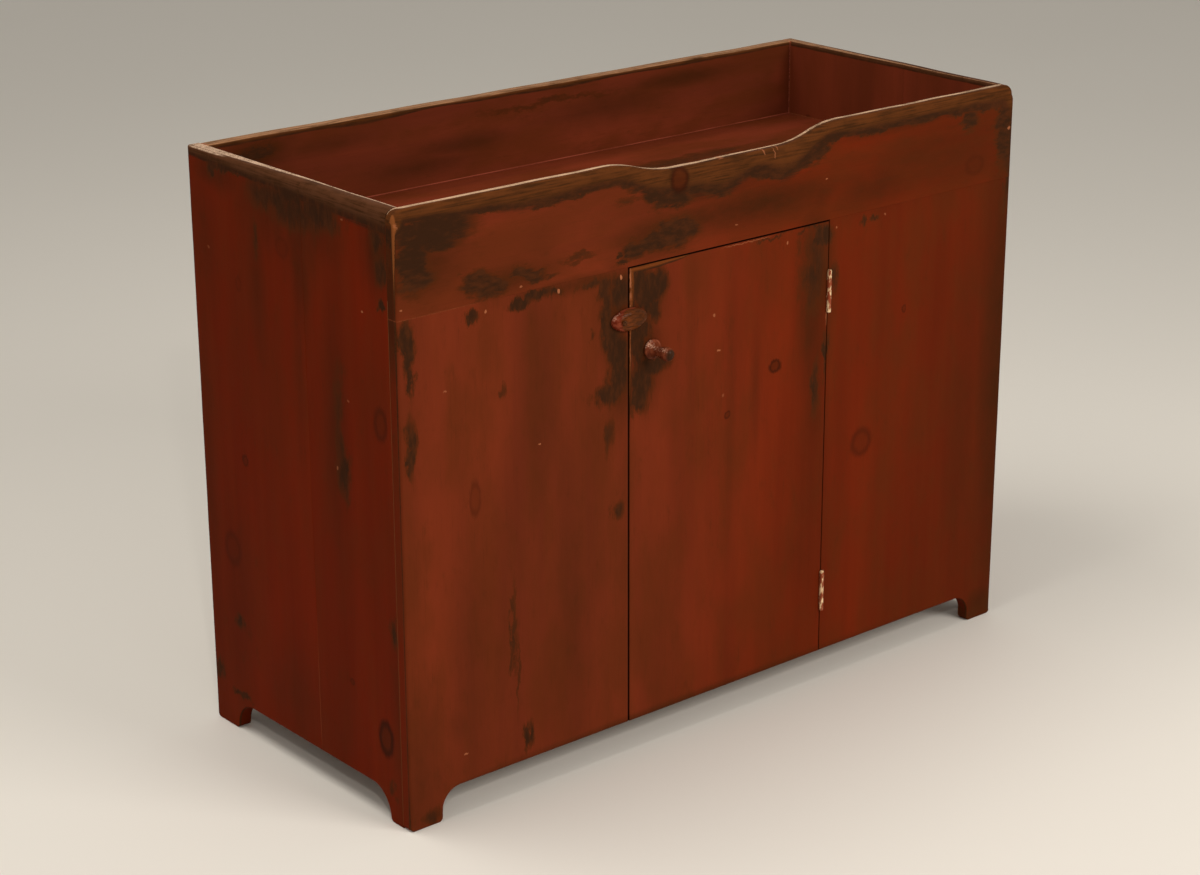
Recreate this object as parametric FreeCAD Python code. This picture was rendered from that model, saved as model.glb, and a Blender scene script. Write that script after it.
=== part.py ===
import FreeCAD, Part
import math
import os

# Dry sink: a nailed pine cabinet with an open well on top and one plain door.
# Millimetres. +X runs to the right along the front, -Y is the front, +Z is up,
# z = 0 is the floor.

V = FreeCAD.Vector
os.makedirs("parts", exist_ok=True)

# ---- overall size, boards only ----
WIDTH = 1220.0
DEPTH = 510.0
HEIGHT = 914.0

# ---- board thicknesses ----
FRONT_T = 20.0
SIDE_T = 22.0
BACK_T = 20.0
FLOOR_T = 20.0
BATTEN_T = 20.0
CLEAT_T = 20.0

# ---- front: rail over two wide stiles ----
RAIL_H = 151.0
DOORWAY_W = 404.0
FRONT_CUT_H = 48.5
FRONT_FOOT_W = 57.0
FRONT_FOOT_R = 32.0
CORNER_R = 16.0
EDGE_WEAR_R = 7.0

# ---- hand-sawn dip in the rail's top edge, a little off centre ----
DIP_DEPTH = 22.0
DIP_LEFT = 243.0
DIP_RIGHT = 226.0
DIP_LEFT_RUN = 139.0
DIP_RIGHT_RUN = 128.0

# ---- ends: each glued up from two boards, with an arch between two feet ----
SIDE_FRONT_BOARD_W = 201.0
SIDE_CUT_H = 48.0
SIDE_FOOT_FRONT_W = 50.0
SIDE_FOOT_BACK_W = 60.0
SIDE_FOOT_R = 43.0
RIM_WEAR_FRONT_R = 14.0
RIM_WEAR_BACK_R = 3.0

# ---- back ----
BACK_BOARDS = 4
BACK_FOOT_W = 30.0
BACK_RIM_R = 2.5

# ---- well, shelf and bottom ----
WELL_DEPTH = 126.0
WELL_CLEAT_H = 30.0
STOP_W = 30.0
STOP_H = 20.0
CLEAT_H = 20.0
SHELF_Z = 400.0
SHELF_SETBACK = 170.0
BOTTOM_Z = 72.0

# ---- door ----
DOOR_GAP_FREE = 2.5
DOOR_GAP_HINGE = 1.5
DOOR_GAP_TOP = 2.0
DOOR_EDGE_R = 1.5
BATTEN_H = 80.0
BATTEN_INSET = 30.0
BATTEN_CLEAR = 15.0
BATTEN_CHAMFER = 5.0
BATTEN_NAILS = 5
BATTEN_NAIL_END = 30.0
BATTEN_NAIL_STAGGER = 18.0

# ---- butt hinges ----
HINGE_H = 66.0
HINGE_TOP_DROP = 111.0
HINGE_FOOT_RISE = 104.5
KNUCKLES = 5
KNUCKLE_R = 3.2
KNUCKLE_PROUD = 3.0
KNUCKLE_CLEAR = 0.4
KNUCKLE_END_CLEAR = 0.15
LEAF_T = 2.0
LEAF_W = 17.0
LEAF_GAP = 0.5
MORTISE_CLEAR = 0.2
PIN_R = 1.75
PIN_HEAD_R = 2.6
PIN_HEAD_H = 1.5
LEAF_SCREWS = 3
LEAF_SCREW_PITCH = 22.0
LEAF_SCREW_STAGGER = 2.0

# ---- knob and turn button ----
KNOB_REACH = 45.0
KNOB_BASE_R = 15.5
KNOB_LIP = 5.5
KNOB_LIP_CHAMFER = 1.5
KNOB_WAIST_R = 7.8
KNOB_WAIST_OUT = 19.0
KNOB_TIP_R = 10.5
HOLLOW_STEPS = 3
BALL_STEPS = 3
KNOB_TENON_R = 6.0
KNOB_TENON_L = 18.0
KNOB_FROM_EDGE = 41.5
KNOB_BELOW_TOP = 129.0
BUTTON_REACH = 50.5
BUTTON_TAIL = 15.5
BUTTON_W = 34.0
BUTTON_END_R = 12.0
BUTTON_T = 13.0
BUTTON_CHAMFER = 4.0
BUTTON_GAP = 0.6
BUTTON_INSET = 18.0
BUTTON_BELOW_TOP = 75.0
BUTTON_SCREW_R = 2.5
BUTTON_SCREW_GRIP = 16.0
BUTTON_HEAD_R = 4.2
BUTTON_HEAD_H = 2.6
BUTTON_HEAD_GAP = 0.1

# ---- wood screws ----
SCREW_R = 1.6
SCREW_HEAD_R = 3.4
SCREW_LENGTH = 16.0

# ---- cut nails: square shanks, driven flush ----
NAIL_W = 3.2
LONG_NAIL_L = 50.0
SHORT_NAIL_L = 36.0
RAIL_END_NAILS = 3
STILE_END_NAILS = 5
STILE_BOTTOM_NAILS = 4
RAIL_FLOOR_NAILS = 4
RIM_END_NAILS = 2
BACK_END_NAILS = 4
BACK_CLEAT_NAILS = 4
BOARD_END_NAILS = 4
SHELF_NAILS = 3
STOP_NAILS = 5
FLOOR_CLEAT_NAILS = 3
NAIL_FROM_END = 40.0

# ---- running and seating clearance of a round piece in its hole ----
HOLE_CLEAR = 0.05

# ---- planes and heights that the pieces share ----
# The origin is under the middle of the whole object, knob included.
FRONT_Y = (KNOB_REACH - DEPTH) / 2
BOARD_Y = FRONT_Y + FRONT_T
BACK_Y = FRONT_Y + DEPTH
INNER_BACK_Y = BACK_Y - BACK_T
LEFT_X = -WIDTH / 2
RIGHT_X = WIDTH / 2
INNER_X = WIDTH / 2 - SIDE_T
SIDE_JOINT_Y = BOARD_Y + SIDE_FRONT_BOARD_W
BACK_BOARD_W = 2 * INNER_X / BACK_BOARDS
RAIL_Z = HEIGHT - RAIL_H
WELL_Z = HEIGHT - WELL_DEPTH
WELL_UNDER_Z = WELL_Z - FLOOR_T
STOP_Z = WELL_UNDER_Z - STOP_H
WELL_CLEAT_Z = WELL_UNDER_Z - WELL_CLEAT_H
BACK_SEAM_Z = WELL_CLEAT_Z + WELL_CLEAT_H / 2
SHELF_Y = BOARD_Y + SHELF_SETBACK
BOTTOM_TOP_Z = BOTTOM_Z + FLOOR_T
DOORWAY_X = DOORWAY_W / 2
DOOR_LEFT_X = DOOR_GAP_FREE - DOORWAY_X
DOOR_RIGHT_X = DOORWAY_X - DOOR_GAP_HINGE
DOOR_TOP_Z = RAIL_Z - DOOR_GAP_TOP
DOOR_FOOT_Z = FRONT_CUT_H
PIN_X = DOORWAY_X - DOOR_GAP_HINGE / 2
PIN_Y = FRONT_Y - KNUCKLE_PROUD
HINGE_TOP_Z = DOOR_TOP_Z - HINGE_TOP_DROP
HINGE_FOOT_Z = DOOR_FOOT_Z + HINGE_FOOT_RISE
KNOB_X = DOOR_LEFT_X + KNOB_FROM_EDGE
KNOB_Z = DOOR_TOP_Z - KNOB_BELOW_TOP
BUTTON_X = -DOORWAY_X - BUTTON_INSET
BUTTON_Z = DOOR_TOP_Z - BUTTON_BELOW_TOP
BUTTON_BACK_Y = FRONT_Y - BUTTON_GAP
BUTTON_FACE_Y = BUTTON_BACK_Y - BUTTON_T
BATTEN_TOP_Z = STOP_Z - BATTEN_CLEAR - BATTEN_H
BATTEN_FOOT_Z = BOTTOM_TOP_Z + BATTEN_CLEAR
BATTEN_BACK_Y = BOARD_Y + BATTEN_T


def save(shape, node):
    """Write one sub-part to its own STEP file."""
    shape.exportStep("parts/" + node + ".step")


def board(x0, x1, y0, y1, z0, z1):
    """A plain sawn board between three pairs of planes."""
    return Part.makeBox(x1 - x0, y1 - y0, z1 - z0, V(x0, y0, z0))


def line(a, b):
    return Part.LineSegment(a, b).toShape()


def arc(a, through, b):
    return Part.Arc(a, through, b).toShape()


def cuts(place, centre, radius, start, end, count):
    """Straight turning cuts along an arc, its angles in radians. place(r, out)
    turns a radius and a reach into a point."""
    points = []
    for i in range(count + 1):
        angle = start + (end - start) * i / count
        r = centre[0] + radius * math.cos(angle)
        points.append(place(r, centre[1] + radius * math.sin(angle)))
    return points


def turned(points, axis_start, way):
    """A solid revolved from an outline of straight cuts."""
    outline = Part.makePolygon(points + points[:1])
    return Part.Face(outline).revolve(axis_start, way, 360)


def prism(edges, along):
    """A closed outline carried straight along a vector."""
    return Part.Face(Part.Wire(edges)).extrude(along)


def cylinder(radius, start, end):
    """A round bar from one point to another."""
    return Part.makeCylinder(radius, (end - start).Length, start, end - start)


def mirror_x(shape):
    return shape.mirror(V(0, 0, 0), V(1, 0, 0))


def foot_curve(place, foot_w, radius, cut_h):
    """Edges of a foot's inner side: up from the floor, then a quarter circle
    that flares out under the cut. place(s, z) turns a distance from the outer
    edge and a height into a point."""
    flare_z = cut_h - radius
    middle = radius * math.sqrt(0.5)
    centre_s = foot_w + radius
    return [
        line(place(foot_w, 0), place(foot_w, flare_z)),
        arc(
            place(foot_w, flare_z),
            place(centre_s - middle, flare_z + middle),
            place(centre_s, cut_h),
        ),
    ]


def ogee(x_high, z_high, x_low, z_low, y):
    """Two equal arcs that meet at mid slope, from a high level to a low one."""
    run = x_low - x_high
    drop = z_high - z_low
    radius = (run * run + drop * drop) / (4 * drop)
    half_turn = math.asin(abs(run) / 2 / radius) / 2
    side = math.copysign(1, run)
    step = side * radius * math.sin(half_turn)
    sag = radius * (1 - math.cos(half_turn))
    middle = V((x_high + x_low) / 2, y, (z_high + z_low) / 2)
    upper = arc(V(x_high, y, z_high), V(x_high + step, y, z_high - sag), middle)
    lower = arc(middle, V(x_low - step, y, z_low + sag), V(x_low, y, z_low))
    return upper, lower


def quarter_corner(centre_x, centre_z, radius, start, y):
    """A quarter circle in the front plane, its start angle in degrees."""
    def at(angle):
        return V(centre_x + radius * math.cos(angle), y, centre_z + radius * math.sin(angle))

    first = math.radians(start)
    return arc(at(first), at(first + math.pi / 4), at(first + math.pi / 2))


def ends_pass(edge, test):
    """True where both ends of an edge pass a test on their points."""
    return all(test(vertex.Point) for vertex in edge.Vertexes)


def near(a, b):
    return abs(a - b) < 1e-4


# ---- front boards ----

def top_rail():
    """Full-width rail. Its top edge dips in the middle through two ogees, and
    its front arris is worn round from end to end."""
    y = FRONT_Y
    low_z = HEIGHT - DIP_DEPTH
    low_left = DIP_LEFT_RUN - DIP_LEFT
    low_right = DIP_RIGHT - DIP_RIGHT_RUN
    left_upper, left_lower = ogee(-DIP_LEFT, HEIGHT, low_left, low_z, y)
    right_upper, right_lower = ogee(DIP_RIGHT, HEIGHT, low_right, low_z, y)
    shoulder_z = HEIGHT - CORNER_R
    edges = [
        line(V(LEFT_X, y, RAIL_Z), V(RIGHT_X, y, RAIL_Z)),
        line(V(RIGHT_X, y, RAIL_Z), V(RIGHT_X, y, shoulder_z)),
        quarter_corner(RIGHT_X - CORNER_R, shoulder_z, CORNER_R, 0, y),
        line(V(RIGHT_X - CORNER_R, y, HEIGHT), V(DIP_RIGHT, y, HEIGHT)),
        right_upper,
        right_lower,
        line(V(low_right, y, low_z), V(low_left, y, low_z)),
        left_lower,
        left_upper,
        line(V(-DIP_LEFT, y, HEIGHT), V(LEFT_X + CORNER_R, y, HEIGHT)),
        quarter_corner(LEFT_X + CORNER_R, shoulder_z, CORNER_R, 90, y),
        line(V(LEFT_X, y, shoulder_z), V(LEFT_X, y, RAIL_Z)),
    ]
    rail = prism(edges, V(0, FRONT_T, 0))

    def on_worn_arris(edge):
        on_front = ends_pass(edge, lambda p: near(p.y, FRONT_Y))
        return on_front and not ends_pass(edge, lambda p: near(p.z, RAIL_Z))

    return rail.makeFillet(EDGE_WEAR_R, [e for e in rail.Edges if on_worn_arris(e)])


def plain_stile():
    """The left stile before its bores: a wide upright board whose foot flares
    into the straight bottom edge."""
    y = FRONT_Y

    def place(s, z):
        return V(LEFT_X + s, y, z)

    inner = WIDTH / 2 - DOORWAY_X
    edges = [line(place(0, 0), place(FRONT_FOOT_W, 0))]
    edges += foot_curve(place, FRONT_FOOT_W, FRONT_FOOT_R, FRONT_CUT_H)
    edges += [
        line(place(FRONT_FOOT_W + FRONT_FOOT_R, FRONT_CUT_H), place(inner, FRONT_CUT_H)),
        line(place(inner, FRONT_CUT_H), place(inner, RAIL_Z)),
        line(place(inner, RAIL_Z), place(0, RAIL_Z)),
        line(place(0, RAIL_Z), place(0, 0)),
    ]
    stile = prism(edges, V(0, FRONT_T, 0))

    def on_outer_arris(edge):
        return ends_pass(edge, lambda p: near(p.y, FRONT_Y) and near(p.x, LEFT_X))

    return stile.makeFillet(EDGE_WEAR_R, [e for e in stile.Edges if on_outer_arris(e)])


def stile_left():
    bore = cylinder(
        BUTTON_SCREW_R + HOLE_CLEAR,
        V(BUTTON_X, FRONT_Y - 1, BUTTON_Z),
        V(BUTTON_X, FRONT_Y + BUTTON_SCREW_GRIP + HOLE_CLEAR, BUTTON_Z),
    )
    return plain_stile().cut(bore)


def stile_right():
    stile = mirror_x(plain_stile())
    for z in (HINGE_FOOT_Z, HINGE_TOP_Z):
        stile = stile.cut(hinge_seat(z, 1))
    return stile


# ---- ends ----

def rim_wear(y):
    """Radius worn on an end's outer top arris, growing from back to front."""
    share = (BACK_Y - y) / (BACK_Y - BOARD_Y)
    return RIM_WEAR_BACK_R + share * (RIM_WEAR_FRONT_R - RIM_WEAR_BACK_R)


def side_board(outer_y, joint_y, foot_w):
    """One board of the left end, from its foot to the glue joint."""
    toward = math.copysign(1, joint_y - outer_y)

    def place(s, z):
        return V(LEFT_X, outer_y + toward * s, z)

    span = abs(joint_y - outer_y)
    edges = [line(place(0, 0), place(foot_w, 0))]
    edges += foot_curve(place, foot_w, SIDE_FOOT_R, SIDE_CUT_H)
    edges += [
        line(place(foot_w + SIDE_FOOT_R, SIDE_CUT_H), place(span, SIDE_CUT_H)),
        line(place(span, SIDE_CUT_H), place(span, HEIGHT)),
        line(place(span, HEIGHT), place(0, HEIGHT)),
        line(place(0, HEIGHT), place(0, 0)),
    ]
    plank = prism(edges, V(SIDE_T, 0, 0))
    top = [
        e
        for e in plank.Edges
        if ends_pass(e, lambda p: near(p.z, HEIGHT) and near(p.x, LEFT_X))
    ]
    ends = [vertex.Point.y for vertex in top[0].Vertexes]
    return plank.makeFillet(rim_wear(ends[0]), rim_wear(ends[1]), top)


def side_front_board():
    return side_board(BOARD_Y, SIDE_JOINT_Y, SIDE_FOOT_FRONT_W - FRONT_T)


def side_rear_board():
    return side_board(BACK_Y, SIDE_JOINT_Y, SIDE_FOOT_BACK_W)


# ---- back ----

def well_back_board():
    plank = board(-INNER_X, INNER_X, INNER_BACK_Y, BACK_Y, BACK_SEAM_Z, HEIGHT)

    def runs_along_rim(edge):
        start, end = (vertex.Point for vertex in edge.Vertexes)
        return near(start.z, HEIGHT) and near(end.z, HEIGHT) and near(start.y, end.y)

    return plank.makeFillet(BACK_RIM_R, [e for e in plank.Edges if runs_along_rim(e)])


def back_board(number):
    """An upright board of the lower back, counted from the left. The outer two
    come down to the floor in a narrow foot against the end."""
    x0 = -INNER_X + number * BACK_BOARD_W
    plank = board(x0, x0 + BACK_BOARD_W, INNER_BACK_Y, BACK_Y, SIDE_CUT_H, BACK_SEAM_Z)
    if number == 0:
        return plank.fuse(back_foot()).removeSplitter()
    if number == BACK_BOARDS - 1:
        return plank.fuse(mirror_x(back_foot())).removeSplitter()
    return plank


def back_foot():
    def place(s, z):
        return V(LEFT_X + s, INNER_BACK_Y, z)

    arc_end = BACK_FOOT_W + SIDE_FOOT_R
    edges = [line(place(SIDE_T, 0), place(BACK_FOOT_W, 0))]
    edges += foot_curve(place, BACK_FOOT_W, SIDE_FOOT_R, SIDE_CUT_H)
    edges += [
        line(place(arc_end, SIDE_CUT_H), place(SIDE_T, SIDE_CUT_H)),
        line(place(SIDE_T, SIDE_CUT_H), place(SIDE_T, 0)),
    ]
    return prism(edges, V(0, BACK_T, 0))


# ---- well floor, shelf, bottom and their cleats ----

def lengthwise_pair(y0, y1, z):
    """Two equal boards side by side that fill the width between the ends."""
    joint = (y0 + y1) / 2
    front = board(-INNER_X, INNER_X, y0, joint, z, z + FLOOR_T)
    rear = board(-INNER_X, INNER_X, joint, y1, z, z + FLOOR_T)
    return front, rear


def side_cleat(y0, y1, top_z, height):
    """A strip along the left end that carries a board's end."""
    return board(-INNER_X, CLEAT_T - INNER_X, y0, y1, top_z - height, top_z)


# ---- door ----

def door():
    plank = board(DOOR_LEFT_X, DOOR_RIGHT_X, FRONT_Y, BOARD_Y, DOOR_FOOT_Z, DOOR_TOP_Z)
    face = [e for e in plank.Edges if ends_pass(e, lambda p: near(p.y, FRONT_Y))]
    plank = plank.makeFillet(DOOR_EDGE_R, face)
    for z in (HINGE_FOOT_Z, HINGE_TOP_Z):
        plank = plank.cut(hinge_seat(z, -1))
    tenon_hole = cylinder(
        KNOB_TENON_R + HOLE_CLEAR,
        V(KNOB_X, FRONT_Y - 1, KNOB_Z),
        V(KNOB_X, FRONT_Y + KNOB_TENON_L + HOLE_CLEAR, KNOB_Z),
    )
    return plank.cut(tenon_hole)


def door_batten(z):
    """A cross batten behind the door, its rear arrises chamfered."""
    plank = board(
        DOOR_LEFT_X + BATTEN_INSET,
        DOOR_RIGHT_X - BATTEN_INSET,
        BOARD_Y,
        BATTEN_BACK_Y,
        z,
        z + BATTEN_H,
    )
    rear = [e for e in plank.Edges if ends_pass(e, lambda p: near(p.y, BATTEN_BACK_Y))]
    return plank.makeChamfer(BATTEN_CHAMFER, rear)


def wood_screw(head, way, radius, head_r, head_h, length):
    """A flat-headed screw from its head's middle: a cone and a blunt shank."""
    shank = Part.makeCylinder(radius, length - head_h, head + way * head_h, way)
    return Part.makeCone(head_r, radius, head_h, head, way).fuse(shank)


# ---- hinges ----

def leaf_plane(side):
    """The x of a leaf's inner face, the one that faces the other leaf."""
    return PIN_X + side * LEAF_GAP / 2


def knuckle_span(z, i):
    """Lower and upper height of one knuckle of a hinge centred at z."""
    pitch = HINGE_H / KNUCKLES
    foot = z - HINGE_H / 2 + i * pitch
    return foot, foot + pitch


def hinge_leaf(z, side):
    """One leaf: a plate with every second knuckle, bored for the pin. side is
    1 for the leaf on the stile and -1 for the one on the door."""
    inner = leaf_plane(side)
    outer = inner + side * LEAF_T
    leaf = board(
        min(inner, outer),
        max(inner, outer),
        PIN_Y,
        FRONT_Y + LEAF_W,
        z - HINGE_H / 2,
        z + HINGE_H / 2,
    )
    own = 0 if side > 0 else 1
    for i in range(KNUCKLES):
        foot, head = knuckle_span(z, i)
        if i % 2 == own:
            low = foot + KNUCKLE_END_CLEAR
            high = head - KNUCKLE_END_CLEAR
            leaf = leaf.fuse(cylinder(KNUCKLE_R, V(PIN_X, PIN_Y, low), V(PIN_X, PIN_Y, high)))
    for i in range(KNUCKLES):
        foot, head = knuckle_span(z, i)
        if i % 2 != own:
            low = foot - KNUCKLE_END_CLEAR
            high = head + KNUCKLE_END_CLEAR
            room = cylinder(
                KNUCKLE_R + KNUCKLE_CLEAR, V(PIN_X, PIN_Y, low), V(PIN_X, PIN_Y, high)
            )
            leaf = leaf.cut(room)
    bore = cylinder(
        PIN_R + HOLE_CLEAR,
        V(PIN_X, PIN_Y, z - HINGE_H),
        V(PIN_X, PIN_Y, z + HINGE_H),
    )
    leaf = leaf.cut(bore)
    for place in leaf_screw_places(z, side):
        leaf = leaf.cut(leaf_screw(place, side, HOLE_CLEAR))
    return leaf.removeSplitter()


def hinge_seat(z, side):
    """What is cut from a board for a hinge: the leaf's mortise, room for the
    barrel and its pin's head, and the screws' bores."""
    outer = leaf_plane(side) + side * LEAF_T
    inner = PIN_X
    half = HINGE_H / 2 + MORTISE_CLEAR
    seat = board(
        min(inner, outer),
        max(inner, outer),
        FRONT_Y - KNUCKLE_R,
        FRONT_Y + LEAF_W + MORTISE_CLEAR,
        z - half,
        z + half,
    )
    barrel = cylinder(
        KNUCKLE_R + KNUCKLE_CLEAR,
        V(PIN_X, PIN_Y, z - half),
        V(PIN_X, PIN_Y, z + half + PIN_HEAD_H),
    )
    seat = seat.fuse(barrel)
    for place in leaf_screw_places(z, side):
        seat = seat.fuse(leaf_screw(place, side, HOLE_CLEAR))
    return seat


def leaf_screw_places(z, side):
    """Head centres of one leaf's screws, slightly staggered."""
    first = -LEAF_SCREW_PITCH * (LEAF_SCREWS - 1) / 2
    places = []
    for i in range(LEAF_SCREWS):
        stagger = LEAF_SCREW_STAGGER * (-1) ** i
        y = FRONT_Y + LEAF_W / 2 + stagger
        places.append(V(leaf_plane(side), y, z + first + i * LEAF_SCREW_PITCH))
    return places


def leaf_screw(head, side, clear):
    return wood_screw(
        head,
        V(side, 0, 0),
        SCREW_R + clear,
        SCREW_HEAD_R + clear,
        LEAF_T,
        SCREW_LENGTH + clear,
    )


def leaf_screws(side):
    """The screws of both hinges on one side, as one group."""
    screws = []
    for z in (HINGE_FOOT_Z, HINGE_TOP_Z):
        screws += [leaf_screw(place, side, 0) for place in leaf_screw_places(z, side)]
    return Part.makeCompound(screws)


def hinge_pin(z):
    """A pin as long as the barrel, with a flat button head on top."""
    head_z = z + HINGE_H / 2
    shank = cylinder(PIN_R, V(PIN_X, PIN_Y, z - HINGE_H / 2), V(PIN_X, PIN_Y, head_z))
    head = cylinder(PIN_HEAD_R, V(PIN_X, PIN_Y, head_z), V(PIN_X, PIN_Y, head_z + PIN_HEAD_H))
    return shank.fuse(head).removeSplitter()


# ---- knob and turn button ----

def crown_angle(steps):
    """Where the steps of a ball's side end and its flat crown begins: the crown
    is half as wide as one of them spans, on each side of the axis."""
    return math.pi / 2 * (1 - 1 / (2 * steps + 1))


def knob():
    """Turned in one piece with its tenon: a chamfered lip, a waist whose hollow
    runs out along the axis, and a ball tip, revolved about a line square to
    the door's face. The hollow and the ball are turned in straight cuts."""
    swell = KNOB_REACH - KNOB_TIP_R
    root_r = KNOB_BASE_R - KNOB_LIP_CHAMFER
    fall = root_r - KNOB_WAIST_R
    length = KNOB_WAIST_OUT - KNOB_LIP
    hollow_r = (fall * fall + length * length) / (2 * fall)
    hollow_centre = (KNOB_WAIST_R + hollow_r, KNOB_WAIST_OUT)
    hollow_turn = math.asin(length / hollow_r)
    ball_end = crown_angle(BALL_STEPS)

    def at(radius, out):
        return V(KNOB_X + radius, FRONT_Y - out, KNOB_Z)

    profile = [
        at(0, -KNOB_TENON_L),
        at(KNOB_TENON_R, -KNOB_TENON_L),
        at(KNOB_TENON_R, 0),
        at(root_r, 0),
        at(KNOB_BASE_R, KNOB_LIP_CHAMFER),
        at(KNOB_BASE_R, KNOB_LIP - KNOB_LIP_CHAMFER),
    ]
    hollow_end = math.pi + hollow_turn
    profile += cuts(at, hollow_centre, hollow_r, hollow_end, math.pi, HOLLOW_STEPS)
    profile += cuts(at, (0, swell), KNOB_TIP_R, 0, ball_end, BALL_STEPS)
    profile.append(at(0, swell + KNOB_TIP_R * math.sin(ball_end)))
    return turned(profile, V(KNOB_X, FRONT_Y, KNOB_Z), V(0, 1, 0))


def turn_button():
    """A wooden button on an off-centre screw, lying across the doorway's left
    edge. Its oval has small arcs at the ends and large ones along the sides,
    which meet on the line through their centres."""
    half = (BUTTON_REACH + BUTTON_TAIL) / 2
    rise = BUTTON_W / 2
    end = half - BUTTON_END_R
    side_r = (end * end + rise * rise - BUTTON_END_R ** 2) / (2 * (rise - BUTTON_END_R))
    share = BUTTON_END_R / (side_r - BUTTON_END_R)
    meet_x = end + end * share
    meet_z = (side_r - rise) * share
    centre_x = BUTTON_X + BUTTON_REACH - half

    def at(x, z):
        return V(centre_x + x, BUTTON_BACK_Y, BUTTON_Z + z)

    oval = [
        arc(at(-meet_x, meet_z), at(0, rise), at(meet_x, meet_z)),
        arc(at(meet_x, meet_z), at(half, 0), at(meet_x, -meet_z)),
        arc(at(meet_x, -meet_z), at(0, -rise), at(-meet_x, -meet_z)),
        arc(at(-meet_x, -meet_z), at(-half, 0), at(-meet_x, meet_z)),
    ]
    body = prism(oval, V(0, -BUTTON_T, 0))
    rim = [e for e in body.Edges if ends_pass(e, lambda p: near(p.y, BUTTON_FACE_Y))]
    body = body.makeChamfer(BUTTON_CHAMFER, rim)
    bore = cylinder(
        BUTTON_SCREW_R + HOLE_CLEAR,
        V(BUTTON_X, BUTTON_FACE_Y - 1, BUTTON_Z),
        V(BUTTON_X, FRONT_Y, BUTTON_Z),
    )
    return body.cut(bore)


def turn_button_screw():
    """A chamfered head and a shank, revolved about the screw's axis."""
    seat_y = BUTTON_FACE_Y - BUTTON_HEAD_GAP
    length = FRONT_Y + BUTTON_SCREW_GRIP - seat_y
    edge = BUTTON_HEAD_H / 2

    def at(radius, back):
        return V(BUTTON_X + radius, seat_y + back, BUTTON_Z)

    profile = [
        at(0, -BUTTON_HEAD_H),
        at(BUTTON_HEAD_R - edge, -BUTTON_HEAD_H),
        at(BUTTON_HEAD_R, -edge),
        at(BUTTON_HEAD_R, 0),
        at(BUTTON_SCREW_R, 0),
        at(BUTTON_SCREW_R, length),
        at(0, length),
    ]
    return turned(profile, V(BUTTON_X, seat_y, BUTTON_Z), V(0, 1, 0))


# ---- nails ----

def nail(head, way, length):
    """A square shank from its flush head, along one of the main axes."""
    tip = head + way * length
    half = NAIL_W / 2
    corner = V(*(half * (1 - abs(part)) for part in way))
    low = V(*(min(a, b) for a, b in zip(head, tip))) - corner
    high = V(*(max(a, b) for a, b in zip(head, tip))) + corner
    return board(low.x, high.x, low.y, high.y, low.z, high.z)


def spread(first, last, count):
    """Evenly spaced places from the first to the last."""
    return [first + (last - first) * i / (count - 1) for i in range(count)]


def halfway(first, last, count):
    """The middles of equal shares of a length."""
    return [first + (last - first) * (i + 0.5) / count for i in range(count)]


def between(first, last, count):
    """The boundaries inside the same equal shares."""
    return [first + (last - first) * i / count for i in range(1, count)]


def both_ends(nails):
    """Nails of the left end, and the same at the right."""
    return nails + [mirror_x(each) for each in nails]


def front_nails():
    """Through the rail and stiles into the ends' edges, the well floor and the
    bottom board."""
    way = V(0, 1, 0)
    end_x = -(INNER_X + SIDE_T / 2)
    rail_zs = spread(WELL_Z, HEIGHT - CORNER_R - NAIL_FROM_END, RAIL_END_NAILS)
    stile_zs = spread(FRONT_CUT_H + NAIL_FROM_END, RAIL_Z - NAIL_FROM_END, STILE_END_NAILS)
    nails = [nail(V(end_x, FRONT_Y, z), way, LONG_NAIL_L) for z in rail_zs + stile_zs]
    bottom_xs = spread(-INNER_X + NAIL_FROM_END, -DOORWAY_X - NAIL_FROM_END, STILE_BOTTOM_NAILS)
    bottom_z = BOTTOM_Z + FLOOR_T / 2
    nails += [nail(V(x, FRONT_Y, bottom_z), way, LONG_NAIL_L) for x in bottom_xs]
    floor_z = WELL_UNDER_Z + FLOOR_T / 2
    floor_nails = [
        nail(V(x, FRONT_Y, floor_z), way, LONG_NAIL_L)
        for x in halfway(-INNER_X, INNER_X, RAIL_FLOOR_NAILS)
    ]
    return both_ends(nails) + floor_nails


def back_nails():
    """From behind, into the bottom board's edge and the cleat under the well."""
    way = V(0, -1, 0)
    nails = []
    low_z = BOTTOM_Z + FLOOR_T / 2
    cleat_low_z = WELL_CLEAT_Z + WELL_CLEAT_H / 4
    for x in halfway(-INNER_X, INNER_X, 2 * BACK_BOARDS):
        nails.append(nail(V(x, BACK_Y, low_z), way, SHORT_NAIL_L))
        nails.append(nail(V(x, BACK_Y, cleat_low_z), way, SHORT_NAIL_L))
    cleat_high_z = WELL_CLEAT_Z + WELL_CLEAT_H * 3 / 4
    for x in spread(-INNER_X + 2 * NAIL_FROM_END, INNER_X - 2 * NAIL_FROM_END, BACK_CLEAT_NAILS):
        nails.append(nail(V(x, BACK_Y, cleat_high_z), way, SHORT_NAIL_L))
    return nails


def end_nails():
    """Through the ends into the edges of the boards across the back."""
    y = INNER_BACK_Y + BACK_T / 2
    zs = spread(WELL_Z + NAIL_FROM_END, HEIGHT - NAIL_FROM_END, RIM_END_NAILS)
    zs += spread(SIDE_CUT_H + 2 * NAIL_FROM_END, BACK_SEAM_Z - 2 * NAIL_FROM_END, BACK_END_NAILS)
    return both_ends([nail(V(LEFT_X, y, z), V(1, 0, 0), LONG_NAIL_L) for z in zs])


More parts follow.
